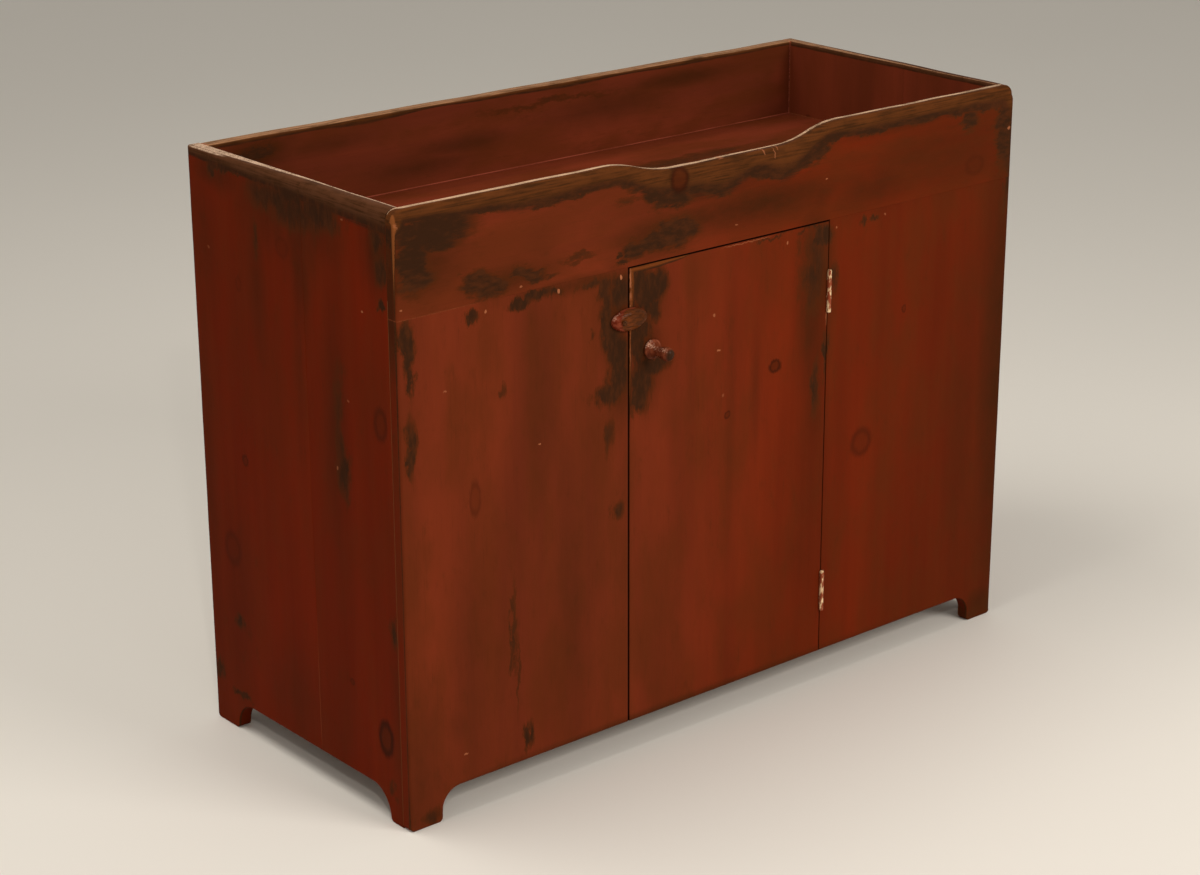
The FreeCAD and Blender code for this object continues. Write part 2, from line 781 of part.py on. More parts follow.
def cleat_nails():
    """Through the side cleats into the ends, between the boards' own nails."""
    x = CLEAT_T - INNER_X
    ys = between(BOARD_Y, INNER_BACK_Y, BOARD_END_NAILS)
    places = [(y, WELL_CLEAT_Z + WELL_CLEAT_H / 2) for y in ys]
    places += [(y, BOTTOM_Z - CLEAT_H / 2) for y in ys]
    shelf_ys = between(SHELF_Y, INNER_BACK_Y, SHELF_NAILS)
    places += [(y, SHELF_Z - CLEAT_H / 2) for y in shelf_ys]
    return both_ends([nail(V(x, y, z), V(-1, 0, 0), SHORT_NAIL_L) for y, z in places])


def end_grain_nails(y0, y1, top_z, count):
    """Down through a board's ends into the cleats under them."""
    x = CLEAT_T / 2 - INNER_X
    places = halfway(y0, y1, count)
    return both_ends([nail(V(x, y, top_z), V(0, 0, -1), SHORT_NAIL_L) for y in places])


def well_floor_nails():
    way = V(0, 0, -1)
    nails = end_grain_nails(BOARD_Y, INNER_BACK_Y, WELL_Z, BOARD_END_NAILS)
    stop_y = BOARD_Y + STOP_W / 2
    for x in spread(-INNER_X + 2 * NAIL_FROM_END, INNER_X - 2 * NAIL_FROM_END, STOP_NAILS):
        nails.append(nail(V(x, stop_y, WELL_Z), way, SHORT_NAIL_L))
    cleat_y = INNER_BACK_Y - CLEAT_T / 2
    for x in halfway(-INNER_X, INNER_X, FLOOR_CLEAT_NAILS):
        nails.append(nail(V(x, cleat_y, WELL_Z), way, SHORT_NAIL_L))
    return nails


def door_batten_nails():
    """Through the battens into the door, in a zigzag along each."""
    first = DOOR_LEFT_X + BATTEN_INSET + BATTEN_NAIL_END
    last = DOOR_RIGHT_X - BATTEN_INSET - BATTEN_NAIL_END
    nails = []
    for z in (BATTEN_FOOT_Z, BATTEN_TOP_Z):
        for i, x in enumerate(spread(first, last, BATTEN_NAILS)):
            stagger = BATTEN_NAIL_STAGGER * (-1) ** i
            head = V(x, BATTEN_BACK_Y, z + BATTEN_H / 2 + stagger)
            nails.append(nail(head, V(0, -1, 0), SHORT_NAIL_L))
    return nails


# ---- build ----

def cabinet_boards():
    """Every board of the fixed cabinet, before nailing."""
    well_front, well_rear = lengthwise_pair(BOARD_Y, INNER_BACK_Y, WELL_UNDER_Z)
    bottom_front, bottom_rear = lengthwise_pair(BOARD_Y, INNER_BACK_Y, BOTTOM_Z)
    cleat_y = INNER_BACK_Y - CLEAT_T
    well_cleat = side_cleat(BOARD_Y + STOP_W, cleat_y, WELL_UNDER_Z, WELL_CLEAT_H)
    shelf_cleat = side_cleat(SHELF_Y, INNER_BACK_Y, SHELF_Z, CLEAT_H)
    bottom_cleat = side_cleat(BOARD_Y, INNER_BACK_Y, BOTTOM_Z, CLEAT_H)
    boards = {
        "top_rail": top_rail(),
        "stile_left": stile_left(),
        "stile_right": stile_right(),
        "side_left_front_board": side_front_board(),
        "side_left_rear_board": side_rear_board(),
        "side_right_front_board": mirror_x(side_front_board()),
        "side_right_rear_board": mirror_x(side_rear_board()),
        "well_back_board": well_back_board(),
        "well_floor_front_board": well_front,
        "well_floor_rear_board": well_rear,
        "door_stop_strip": board(
            -INNER_X, INNER_X, BOARD_Y, BOARD_Y + STOP_W, STOP_Z, WELL_UNDER_Z
        ),
        "well_cleat_back": board(
            -INNER_X, INNER_X, cleat_y, INNER_BACK_Y, WELL_CLEAT_Z, WELL_UNDER_Z
        ),
        "well_cleat_left": well_cleat,
        "well_cleat_right": mirror_x(well_cleat),
        "shelf": board(-INNER_X, INNER_X, SHELF_Y, INNER_BACK_Y, SHELF_Z, SHELF_Z + FLOOR_T),
        "shelf_cleat_left": shelf_cleat,
        "shelf_cleat_right": mirror_x(shelf_cleat),
        "bottom_front_board": bottom_front,
        "bottom_rear_board": bottom_rear,
        "bottom_cleat_left": bottom_cleat,
        "bottom_cleat_right": mirror_x(bottom_cleat),
    }
    for number in range(BACK_BOARDS):
        boards["back_board_" + str(number + 1)] = back_board(number)
    return boards


def cabinet_nails():
    return {
        "front_nails": front_nails(),
        "back_nails": back_nails(),
        "end_nails": end_nails(),
        "cleat_nails": cleat_nails(),
        "well_floor_nails": well_floor_nails(),
        "bottom_nails": end_grain_nails(BOARD_Y, INNER_BACK_Y, BOTTOM_TOP_Z, BOARD_END_NAILS),
        "shelf_nails": end_grain_nails(SHELF_Y, INNER_BACK_Y, SHELF_Z + FLOOR_T, SHELF_NAILS),
    }


def door_boards():
    return {
        "door": door(),
        "door_batten_top": door_batten(BATTEN_TOP_Z),
        "door_batten_bottom": door_batten(BATTEN_FOOT_Z),
    }


def save_nailed(boards, nail_groups):
    """Save boards with a hole for each nail that reaches them, and the nails."""
    nails = [each for group in nail_groups.values() for each in group]
    for node, shape in boards.items():
        reaching = [each for each in nails if each.BoundBox.intersect(shape.BoundBox)]
        save(shape.cut(reaching) if reaching else shape, node)
    for node, group in nail_groups.items():
        save(Part.makeCompound(group), node)


save_nailed(cabinet_boards(), cabinet_nails())
save_nailed(door_boards(), {"door_batten_nails": door_batten_nails()})

for name, z in (("top", HINGE_TOP_Z), ("bottom", HINGE_FOOT_Z)):
    save(hinge_leaf(z, 1), "hinge_" + name + "_stile_leaf")
    save(hinge_leaf(z, -1), "hinge_" + name + "_door_leaf")
    save(hinge_pin(z), "hinge_" + name + "_pin")
save(leaf_screws(1), "stile_hinge_screws")
save(leaf_screws(-1), "door_hinge_screws")

save(knob(), "knob")
save(turn_button(), "turn_button")
save(turn_button_screw(), "turn_button_screw")
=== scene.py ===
"""Looks of a nailed pine dry sink in worn red-brown paint.

Boards, knob and turn button are drawn again as worn, hand-planed pieces over the
CAD frame. Lengths are in millimetres until a mesh is written. x runs to the right
along the front, y from the door to the back and z up.
"""

import math
from collections import namedtuple

import bmesh
import bpy
import numpy as np
from mathutils import Matrix, Vector


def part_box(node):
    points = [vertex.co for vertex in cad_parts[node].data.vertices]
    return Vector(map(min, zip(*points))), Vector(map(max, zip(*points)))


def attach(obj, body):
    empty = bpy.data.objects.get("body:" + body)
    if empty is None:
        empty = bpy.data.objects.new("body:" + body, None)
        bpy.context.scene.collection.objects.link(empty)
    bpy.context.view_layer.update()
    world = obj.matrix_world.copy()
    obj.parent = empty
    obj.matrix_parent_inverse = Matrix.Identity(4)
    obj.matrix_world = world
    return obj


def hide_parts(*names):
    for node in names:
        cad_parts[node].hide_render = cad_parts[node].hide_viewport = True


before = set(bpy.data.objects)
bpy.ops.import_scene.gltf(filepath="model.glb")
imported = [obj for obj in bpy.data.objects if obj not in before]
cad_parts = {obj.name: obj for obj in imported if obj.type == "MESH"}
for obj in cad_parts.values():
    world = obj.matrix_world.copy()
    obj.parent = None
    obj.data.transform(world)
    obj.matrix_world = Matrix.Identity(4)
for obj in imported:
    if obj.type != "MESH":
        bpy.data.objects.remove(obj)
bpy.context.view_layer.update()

MM = 0.001


def corners(node):
    """Lowest and highest corner of a CAD node, in millimetres."""
    low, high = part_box(node)
    return np.array(low) / MM, np.array(high) / MM


# ---- planes of the cabinet, read from the frame ----
RAIL_LOW, RAIL_HIGH = corners("top_rail")
LEFT_X, FRONT_Y, SEAM_Z = RAIL_LOW
RIGHT_X, BOARD_Y, RIM_Z = RAIL_HIGH
STILE_LOW, STILE_HIGH = corners("stile_left")
DOOR_LOW, DOOR_HIGH = corners("door")
STILE_CUT_Z = DOOR_LOW[2]
SIDE_LOW, SIDE_HIGH = corners("side_left_front_board")
REAR_LOW, REAR_HIGH = corners("side_left_rear_board")
BACK_LOW, BACK_HIGH = corners("well_back_board")
WELL_Z = corners("well_floor_front_board")[1][2]
KNOB_LOW, KNOB_HIGH = corners("knob")
BUTTON_LOW, BUTTON_HIGH = corners("turn_button")
SCREW_LOW, SCREW_HIGH = corners("turn_button_screw")
KNOB_MIDDLE = (KNOB_LOW + KNOB_HIGH) / 2
BUTTON_MIDDLE = (BUTTON_LOW + BUTTON_HIGH) / 2
SCREW_MIDDLE = (SCREW_LOW + SCREW_HIGH) / 2
SIDE_T = SIDE_HIGH[0] - SIDE_LOW[0]
FRONT_T = BOARD_Y - FRONT_Y

# ---- outlines that the boards share with the frame ----
CORNER_R = 16.0
DIP_DEPTH = 22.0
DIP_LEFT, DIP_LEFT_RUN = 243.0, 139.0
DIP_RIGHT, DIP_RIGHT_RUN = 226.0, 128.0
FRONT_FOOT_W, FRONT_FOOT_R = 57.0, 32.0
SIDE_FOOT_R = 43.0
SIDE_FOOT_FRONT_W, SIDE_FOOT_BACK_W = 50.0, 60.0
SIDE_CUT_H = 48.0
TOE_R = 7.0

# ---- how the faces are divided ----
EDGE_STEPS = np.array([0, 0.4, 1, 2, 3.2, 5, 7, 9.5, 12.5, 16, 20, 25, 31, 38])
FACE_STEP = 9.0
FOOT_STEPS = np.array([0, 0.4, 1, 2, 3, 4, 6])
# Where the stations round a foot's quarter circle begin, in radians, and how many.
ARC_START, ARC_STEPS = 0.09, 12
WALL_STEPS = (0.8, 2.0, 4.0, 7.0)

# ---- how the edges and walls are worn ----
# Rubbing falls by this much over the width of the bare wood, which has one width of
# its own on the walls.
RUB_FALL, WALL_BAND = 0.4, 2.6
# How far the pale rim reaches over the face, and the share of a wall it fades over.
RIM_WEAR, RIM_FADE = 2.5, 0.25
# Rubbing added to unrubbed walls, so that the dark undercoat shows: how much, from which height, and the rise
# to all of it.
WALL_DARK, WALL_DARK_FROM, WALL_DARK_RISE = 0.5, 690, 60
# The hand plane's hollows: their depth and span, and the fade above the low edge.
PLANED, PLANED_SPAN, PLANED_FADE = 0.2, 90, 12


# ---- shapes ----

def waver(seed, span, a, b=0.0):
    """Six sine waves of random direction and phase added up, about -1 to 1.
    span is their middle wavelength."""
    random = np.random.default_rng(seed)
    total = 0.0
    for _ in range(6):
        turn = random.uniform(0, math.pi)
        length = span * random.uniform(0.6, 1.8)
        phase = random.uniform(0, 2 * math.pi)
        along = a * math.cos(turn) + b * math.sin(turn)
        total = total + np.sin(2 * math.pi * along / length + phase)
    return total / 3.5


def hollows(seed, span, a, b=0.0):
    """A waver brought between 0 and 1: how far wood was planed or worn away."""
    return np.clip(0.5 + 0.5 * waver(seed, span, a, b), 0, 1)


def spaced(start, end, step=FACE_STEP, extra=()):
    """Places from start to end, close together near both, with extra ones added."""
    reach = min(EDGE_STEPS[-1], (end - start) / 3)
    near = EDGE_STEPS[EDGE_STEPS < reach]
    count = max(2, int((end - start - 2 * near[-1]) / step))
    middle = np.linspace(start + near[-1], end - near[-1], count + 2)
    return np.unique(np.concatenate([start + near, middle, end - near, np.array(extra)]).round(3))


def heights(low, high, step=FACE_STEP):
    """A row of heights over each station: the edge steps up from the low outline
    and down from the high one, and even shares between."""
    near = EDGE_STEPS[EDGE_STEPS < (high - low).min() / 3]
    count = max(2, int((high.max() - low.min() - 2 * near[-1]) / step))
    share = np.linspace(0, 1, count + 2)[1:-1]
    bottom = low[:, None] + near
    top = high[:, None] - near[::-1]
    middle = bottom[:, -1:] * (1 - share) + top[:, :1] * share
    return np.concatenate([bottom, middle, top], axis=1)


def chain_distance(a, b, chain):
    """Shortest distance from each point (a, b) to a chain of straight pieces."""
    point = np.stack([a, b], -1)[..., None, :]
    start, run = chain[:-1], chain[1:] - chain[:-1]
    share = ((point - start) * run).sum(-1) / np.maximum((run * run).sum(-1), 1e-9)
    gap = point - start - np.clip(share, 0, 1)[..., None] * run
    return np.sqrt((gap * gap).sum(-1)).min(-1)


def quarter_drop(distance, radius):
    """Quarter of a circle: how far it has dropped at a distance from an edge, as a
    share of its radius."""
    share = np.clip(1 - distance / radius, 0, 1)
    return 1 - np.sqrt(1 - share * share)


def quarter_rise(distance, radius):
    """Height of a quarter circle that starts upright and ends level."""
    share = np.clip(1 - distance / radius, 0, 1)
    return radius * np.sqrt(1 - share * share)


# How far a round-over reaches over the face and how deep, how wide the bare wood
# is on it, and how wide the painted shade is where it looks into the gap round the door.
Edge = namedtuple("Edge", "reach depth band gap", defaults=[0.0])
# A planed arris that nobody touches, and one that is butted against a neighbour.
PLAIN = Edge(0.8, 0.6, 0.0)
TIGHT = Edge(0.5, 0.3, 0.0)


def column(value):
    """A row of numbers turned to run along the stations; others stay as they are."""
    value = np.asarray(value, float)
    return value[:, None] if value.ndim == 1 else value


def round_over(distance, edge):
    """How far a face has dropped at a distance from its edge: quarter of an ellipse."""
    return column(edge.depth) * quarter_drop(distance, column(edge.reach))


def worn(distance, band):
    """Rubbing at a distance from an edge: up to 1 on the edge, less where the bare
    wood is narrow, and falling evenly over the width of the wood."""
    most = np.minimum(1, 0.45 + 0.3 * band)
    return np.where(band > 0, most - RUB_FALL * distance / np.maximum(band, 1e-6), 0)


def signed_volume(points, faces):
    """A mesh's volume, below 0 where its faces look inwards: over the triangles of
    each quad, a sixth of the triple product of their corners."""
    a, b, c, d = (points[faces[:, k]] for k in range(4))
    first = np.einsum("ij,ij->i", a, np.cross(b, c))
    second = np.einsum("ij,ij->i", a, np.cross(c, d))
    return (first + second).sum() / 6


def grid_faces(index):
    """Quads between the points of a grid of point numbers."""
    return np.stack(
        [index[:-1, :-1], index[1:, :-1], index[1:, 1:], index[:-1, 1:]], -1
    ).reshape(-1, 4)


def ring_faces(index):
    """Quads between rows of point numbers, each row closed on itself."""
    following = np.roll(index, -1, axis=1)
    return np.stack([index[:-1], following[:-1], following[1:], index[1:]], -1).reshape(-1, 4)


def rim_loop(index):
    """A grid's outer point numbers, once round."""
    return np.concatenate([index[:-1, 0], index[-1, :-1], index[:0:-1, -1], index[0, :0:-1]])


def new_object(name, data):
    """A mesh, lamp or camera put into the scene at the origin."""
    piece = bpy.data.objects.new(name, data)
    bpy.context.scene.collection.objects.link(piece)
    return piece


def write_mesh(name, points, faces, attributes, material, sharp=35):
    """A mesh object from arrays, its faces turned outwards and its edges sharp where
    they bend by more than sharp degrees."""
    if signed_volume(points, faces) < 0:
        faces = faces[:, ::-1]
    mesh = bpy.data.meshes.new(name)
    mesh.from_pydata((points * MM).tolist(), [], faces.tolist())
    for key, values in attributes.items():
        layer = mesh.attributes.new(key, "FLOAT", "POINT")
        layer.data.foreach_set("value", values.astype(np.float32))
    mesh.shade_smooth()
    mesh.set_sharp_from_angle(angle=math.radians(sharp))
    mesh.materials.append(material)
    return new_object(name, mesh)


def wall_between(outer, inner):
    """Rings of points from one face's rim to the other's, close together near both.
    Gives the rings, each point's share of the way and how far the way is."""
    run = np.linalg.norm(inner - outer, axis=-1)
    across = [np.minimum(run * 0.45, step) / run for step in WALL_STEPS]
    share = np.array([*across, *(1 - part for part in across[::-1])])
    return outer + share[..., None] * (inner - outer), share, run


def slab(name, place, stations, low, high, thickness, edges, inner_edge, material, seed, rim=0.0):
    """A board between a low and a high outline over its stations.

    Both faces are grids of the same points (a, b). The outer face drops towards
    each edge by a quarter ellipse, the drops of two edges add as squares, and a
    hand-planed waver of a fifth of a millimetre is added; the inner face has one
    small radius all round. place(a, b, t) turns them and a depth into x, y, z.
    rim is the share of the top edge that is rubbed pale, with painted sheen, from the inner side."""
    b = heights(low, high)
    a = np.repeat(stations[:, None], b.shape[1], axis=1)
    chains = {
        "low": np.stack([stations, low], -1),
        "high": np.stack([stations, high], -1),
        "start": np.array([[stations[0], low[0]], [stations[0], high[0]]]),
        "end": np.array([[stations[-1], low[-1]], [stations[-1], high[-1]]]),
    }
    away = {side: chain_distance(a, b, chain) for side, chain in chains.items()}

    squares, inner_squares, rub, gap_shade = 0.0, 0.0, 0.0, np.zeros(a.shape)
    for side, distance in away.items():
        edge = edges[side]
        squares = squares + round_over(distance, edge) ** 2
        inner_squares = inner_squares + round_over(distance, inner_edge if side == "high" else TIGHT) ** 2
        rub = np.maximum(rub, worn(distance, column(edge.band)))
        # Painted shade: near an edge that looks into the gap round the door, the face goes dark.
        if edge.gap:
            gap_shade = np.maximum(gap_shade, np.clip(1.5 - distance / edge.gap, 0, 1))
    planed = PLANED * hollows(seed, PLANED_SPAN, a, b) * np.clip(away["low"] / PLANED_FADE, 0, 1)
    outer = np.stack(place(a, b, np.sqrt(squares) + planed), -1).reshape(-1, 3)
    inner = np.stack(place(a, b, thickness - np.sqrt(inner_squares)), -1).reshape(-1, 3)

    pale = np.broadcast_to(rim, stations.shape)
    outer_rim = np.clip(1 - away["high"] / RIM_WEAR, 0, 1) * np.clip(10 * pale[:, None] - 9, 0, 1)
    inner_rim = np.zeros(a.shape)
    inner_rim[:, -1] = pale
    inner_rub = np.maximum(worn(away["high"], np.full(a.shape, inner_edge.band)), 0)
    rub, inner_rub, gap_shade, inner_rim = (grid.ravel() for grid in (rub, inner_rub, gap_shade, inner_rim))

    index = np.arange(a.size).reshape(a.shape)
    loop = rim_loop(index)
    wall, share, run = wall_between(outer[loop], inner[loop])
    fall = RUB_FALL / WALL_BAND
    front_rub = rub[loop] - fall * share * run
    back_rub = inner_rub[loop] - fall * (1 - share) * run
    wall_dark = WALL_DARK * (rub[loop] < 0.1) * np.clip((b.ravel()[loop] - WALL_DARK_FROM) / WALL_DARK_RISE, 0, 1)
    wall_rub = np.maximum(np.maximum(front_rub, back_rub), wall_dark)
    wall_pale = inner_rim[loop]
    wall_rim = np.clip((share - 1 + wall_pale) / RIM_FADE, 0, 1) * (wall_pale > 0)

    rings = 2 * a.size + np.arange(share.size).reshape(share.shape)
    rings = np.concatenate([loop[None], rings, loop[None] + a.size])
    faces = np.concatenate([grid_faces(index)[:, ::-1], grid_faces(index + a.size), ring_faces(rings)])
    points = np.concatenate([outer, inner, wall.reshape(-1, 3)])

    def everywhere(outside, inside, between):
        """A value at each point of the outer face, the inner face and the wall."""
        parts = [(outside, a.size), (inside, a.size), (between, share.shape)]
        return np.concatenate([np.broadcast_to(value, shape).ravel() for value, shape in parts])

    attributes = {
        "rub": everywhere(rub, inner_rub, wall_rub),
        "rim": everywhere(outer_rim.ravel(), inner_rim > 0, wall_rim),
        "inside": everywhere(0.0, 1.0, 0.0),
        "wall": everywhere(0.0, 0.0, np.clip(share * run / 3, 0, 1)),
        "gap": everywhere(gap_shade, 0.0, gap_shade[loop]),
    }
    return write_mesh(name, points, faces, attributes, material)


def toe(distance):
    """Rise of a foot's underside close to its corners: a quarter circle."""
    return TOE_R * quarter_drop(distance, TOE_R)


def underside(s, foot_w, foot_r, cut_z):
    """Lower outline by the distance from a board's outer edge: a foot with rounded
    corners, a quarter circle out of its inner side, the cut."""
    foot = toe(s) + toe(foot_w - s)
    flare = cut_z - foot_r + quarter_rise(s - foot_w, foot_r)
    return np.where(s <= foot_w, foot, flare)


def foot_stations(foot_w, foot_r):
    """Stations at a foot's inner corner and round the quarter circle out of it."""
    arc = foot_w + foot_r * (1 - np.cos(np.linspace(ARC_START, math.pi / 2, ARC_STEPS)))
    return [*arc, *(foot_w - FOOT_STEPS)]


def rail_top(x):
    """Upper outline of the rail: level, with rounded ends, and a dip reached
    through two pairs of equal tangent arcs, less a little rubbed off in hollows."""
    def dip(distance, run):
        """Depth at a distance from the dip's start: an arc that turns down over half
        the run, and the same arc turned over for the other half."""
        radius = (run * run + DIP_DEPTH ** 2) / (4 * DIP_DEPTH)
        upper = radius - np.sqrt(radius ** 2 - np.clip(distance, 0, run / 2) ** 2)
        left_over = np.clip(run - distance, 0, run / 2)
        lower = DIP_DEPTH - radius + np.sqrt(radius ** 2 - left_over ** 2)
        return np.where(distance <= run / 2, upper, lower)

    fall = np.maximum(0, np.minimum(dip(x + DIP_LEFT, DIP_LEFT_RUN), dip(DIP_RIGHT - x, DIP_RIGHT_RUN)))
    from_end = np.minimum(x - LEFT_X, RIGHT_X - x)
    corner = CORNER_R - quarter_rise(from_end, CORNER_R)
    rubbed = 0.7 * hollows(3, 120, x) * np.clip(from_end / 60, 0, 1)
    return RIM_Z - fall - corner - rubbed


# ---- materials ----

def srgb(red, green, blue):
    """A colour given as 0 to 255, as Blender's linear one."""
    parts = []
    for value in (red, green, blue):
        share = value / 255
        parts.append(share / 12.92 if share <= 0.04045 else ((share + 0.055) / 1.055) ** 2.4)
    return (*parts, 1.0)


class Field:
    """Something that varies over a surface. It wraps a node's socket, and sums
    written with it add Math nodes."""

    def __init__(self, finish, socket):
        self.finish = finish
        self.socket = socket

    def math(self, operation, first, second=0.0):
        return self.finish.node("ShaderNodeMath", {"operation": operation}, {0: first, 1: second})

    def __add__(self, other):
        return self.math("ADD", self, other)

    __radd__ = __add__

    def __sub__(self, other):
        return self.math("SUBTRACT", self, other)

    def __rsub__(self, other):
        return self.math("SUBTRACT", other, self)

    def __mul__(self, other):
        return self.math("MULTIPLY", self, other)

    __rmul__ = __mul__

    def most(self, other):
        """The larger of the two."""
        return self.math("MAXIMUM", self, other)

    def size(self):
        """The amount without its sign."""
        return self.math("ABSOLUTE", self)

    def ramp(self, start, end, top=1.0):
        """0 at start and top at end, smooth between."""
        ends = (start, end, 0.0, top) if start <= end else (end, start, top, 0.0)
        inputs = dict(zip(("From Min", "From Max", "To Min", "To Max"), ends))
        settings = {"interpolation_type": "SMOOTHSTEP"}
        return self.finish.node("ShaderNodeMapRange", settings, {"Value": self, **inputs})


# How far apart along x, y and z the noises of two neighbouring seeds are taken.
NOISE_STEPS = 7.31, 3.17, 5.73


class Finish:
    """A material and the nodes that work it out."""

    def __init__(self, name, **fixed):
        self.material = bpy.data.materials.new(name)
        self.material.use_nodes = True
        self.tree = self.material.node_tree
        self.shader = self.tree.nodes["Principled BSDF"]
        for socket, value in fixed.items():
            self.shader.inputs[socket.replace("_", " ")].default_value = value
        self.place = self.scaled(self.node("ShaderNodeTexCoord", {}, {}, "Object"), (1 / MM,) * 3)
        self.x, self.y, self.z = self.node("ShaderNodeSeparateXYZ", {}, {"Vector": self.place}, "X", "Y", "Z")

    def node(self, kind, settings, inputs, *outputs):
        """Adds a node: first its settings, then its sockets' values and links. Gives
        the named outputs as Fields, or the first one."""
        node = self.tree.nodes.new(kind)
        for key, value in settings.items():
            setattr(node, key, value)
        for key, value in inputs.items():
            if isinstance(value, Field):
                self.tree.links.new(value.socket, node.inputs[key])
            else:
                node.inputs[key].default_value = value
        fields = [Field(self, node.outputs[key]) for key in outputs or (0,)]
        return fields[0] if len(fields) == 1 else fields

    def scaled(self, vector, factors, added=(0.0, 0.0, 0.0)):
        """A vector times its factors, plus what is added."""
        return self.node(
            "ShaderNodeVectorMath", {"operation": "MULTIPLY_ADD"}, {0: vector, 1: factors, 2: added}
        )

    def attribute(self, name):
        """What the mesh holds at each of its points under a name."""
        return self.node("ShaderNodeAttribute", {"attribute_name": name}, {}, "Fac")

    def noises(self, sizes, seed, detail=3.0, roughness=0.5, distortion=0.0):
        """Cloudy noise whose lumps have the given sizes in mm along x, y and z, as a
        number and as a vector."""
        vector = self.scaled(
            self.place, tuple(1 / size for size in sizes), tuple(seed * step for step in NOISE_STEPS)
        )
        inputs = {"Vector": vector, "Scale": 1.0, "Detail": detail, "Roughness": roughness}
        inputs["Distortion"] = distortion
        return self.node("ShaderNodeTexNoise", {}, inputs, "Fac", "Color")

    def noise(self, *settings):
        """Such noise as a number alone."""
        return self.noises(*settings)[0]

    def mix(self, first, second, share):
        """The first colour where share is 0 and the second where it is 1."""
        return self.node(
            "ShaderNodeMix", {"data_type": "RGBA"}, {0: share, 6: first, 7: second}, 2
        )

    def link(self, socket, field):
        """Leads a field into one of the shader's sockets."""
        self.tree.links.new(field.socket, self.shader.inputs[socket])

    def complete(self, colour, roughness, height, distance, metallic=None):
        """Links the colour, roughness and relief to the shader; distance is in metres."""
        self.link("Base Color", colour)
        self.link("Roughness", roughness)
        if metallic is not None:
            self.link("Metallic", metallic)
        inputs = {"Strength": 1.0, "Distance": distance, "Height": height}
        self.link("Normal", self.node("ShaderNodeBump", {}, inputs))
        return self.material


# The red paint on the front, the door, the well and the ends.
RED_BRIGHT, RED_DEEP = srgb(124, 49, 25), srgb(92, 37, 19)
DOOR_BRIGHT, DOOR_DEEP = srgb(122, 39, 13), srgb(92, 30, 10)
WELL_BRIGHT, WELL_DEEP = srgb(130, 54, 32), srgb(94, 40, 23)
# The ends' red: the paint as a deeper, less grey copy, painted shade for ends seen in shade.
END_SHADE_BRIGHT, END_SHADE_DEEP = srgb(122, 34, 8), srgb(92, 26, 6)
RED_STREAK = srgb(62, 24, 11)
# Old varnish, smoke, and the dark undercoat with the brown round its patches.
GLAZE = srgb(84, 39, 14)
SMOKE = srgb(54, 29, 11)
DARK, DARK_THIN = srgb(49, 30, 17), srgb(72, 38, 19)
HALO = srgb(76, 36, 14)
# Wood worn bare, light and deep: on the front, on the door and on the ends.
WOODS = srgb(92, 50, 22), srgb(60, 34, 15)
DOOR_WOODS = srgb(112, 57, 24), srgb(88, 45, 18)
END_WOODS = srgb(86, 52, 32), srgb(60, 34, 15)
# Bare wood on the rail's left corner arris, made lighter as a painted highlight.
WOOD_CORNER_HIGHLIGHT = srgb(134, 76, 38)
# Rims rubbed pale with painted sheen: the usual one, the rail's and the left end's; their deep spots.
RIM_PALE_SHEEN, RAIL_PALE_SHEEN, END_PALE_SHEEN = srgb(154, 112, 80), srgb(204, 168, 136), srgb(200, 168, 142)
RIM_DEEP = srgb(78, 50, 29)
NICK = srgb(166, 100, 66)
SEAM, SEAM_INSIDE = srgb(128, 64, 36), srgb(168, 86, 66)
KNOT_HEART, KNOT_RING = srgb(76, 29, 10), srgb(44, 19, 8)
# Near-black painted shade for the gap round the door.
GAP_SHADE = srgb(14, 8, 5)
PINE, PINE_DEEP, PINE_LINE = srgb(150, 110, 70), srgb(98, 68, 42), srgb(76, 49, 30)


def drawn_out(axis, across, length):
    """Sizes along x, y and z of noise that is drawn out along one axis."""
    return [length if name == axis else across for name in "xyz"]


def bare_pine(finish, grain, seed):
    """Old unpainted pine: broad clouds, long growth lines and fine ones between."""
    cloud = finish.noise(drawn_out(grain, 63, 1820), seed, 2.0)
    lines = finish.noise(drawn_out(grain, 9, 260), seed + 1, 4.0, 0.6, 0.4)
    tone = finish.noise([4000] * 3, seed + 3, 0.0)
    fine = finish.noise(drawn_out(grain, 2.25, 65), seed + 2, 2.0)
    colour = finish.mix(PINE, PINE_DEEP, (cloud * 0.6 + tone * 0.6).ramp(0.3, 0.85))
    colour = finish.mix(colour, PINE_LINE, lines.ramp(0.5, 0.72, 0.45))
    colour = finish.mix(colour, PINE_LINE, fine.ramp(0.5, 0.75, 0.35))
    return colour, lines * 0.5 + fine * 0.3


# ---- marks on the boards ----

# An ellipse on a board: its middle in the board's plane, half its width and height,
# and how strong it is.
Mark = namedtuple("Mark", "u v wide tall strength")
Marks = namedtuple("Marks", "dark shade light knots nicks")


def rows(*numbers):
    """Marks, each given as its five numbers."""
    return [Mark(*row) for row in numbers]


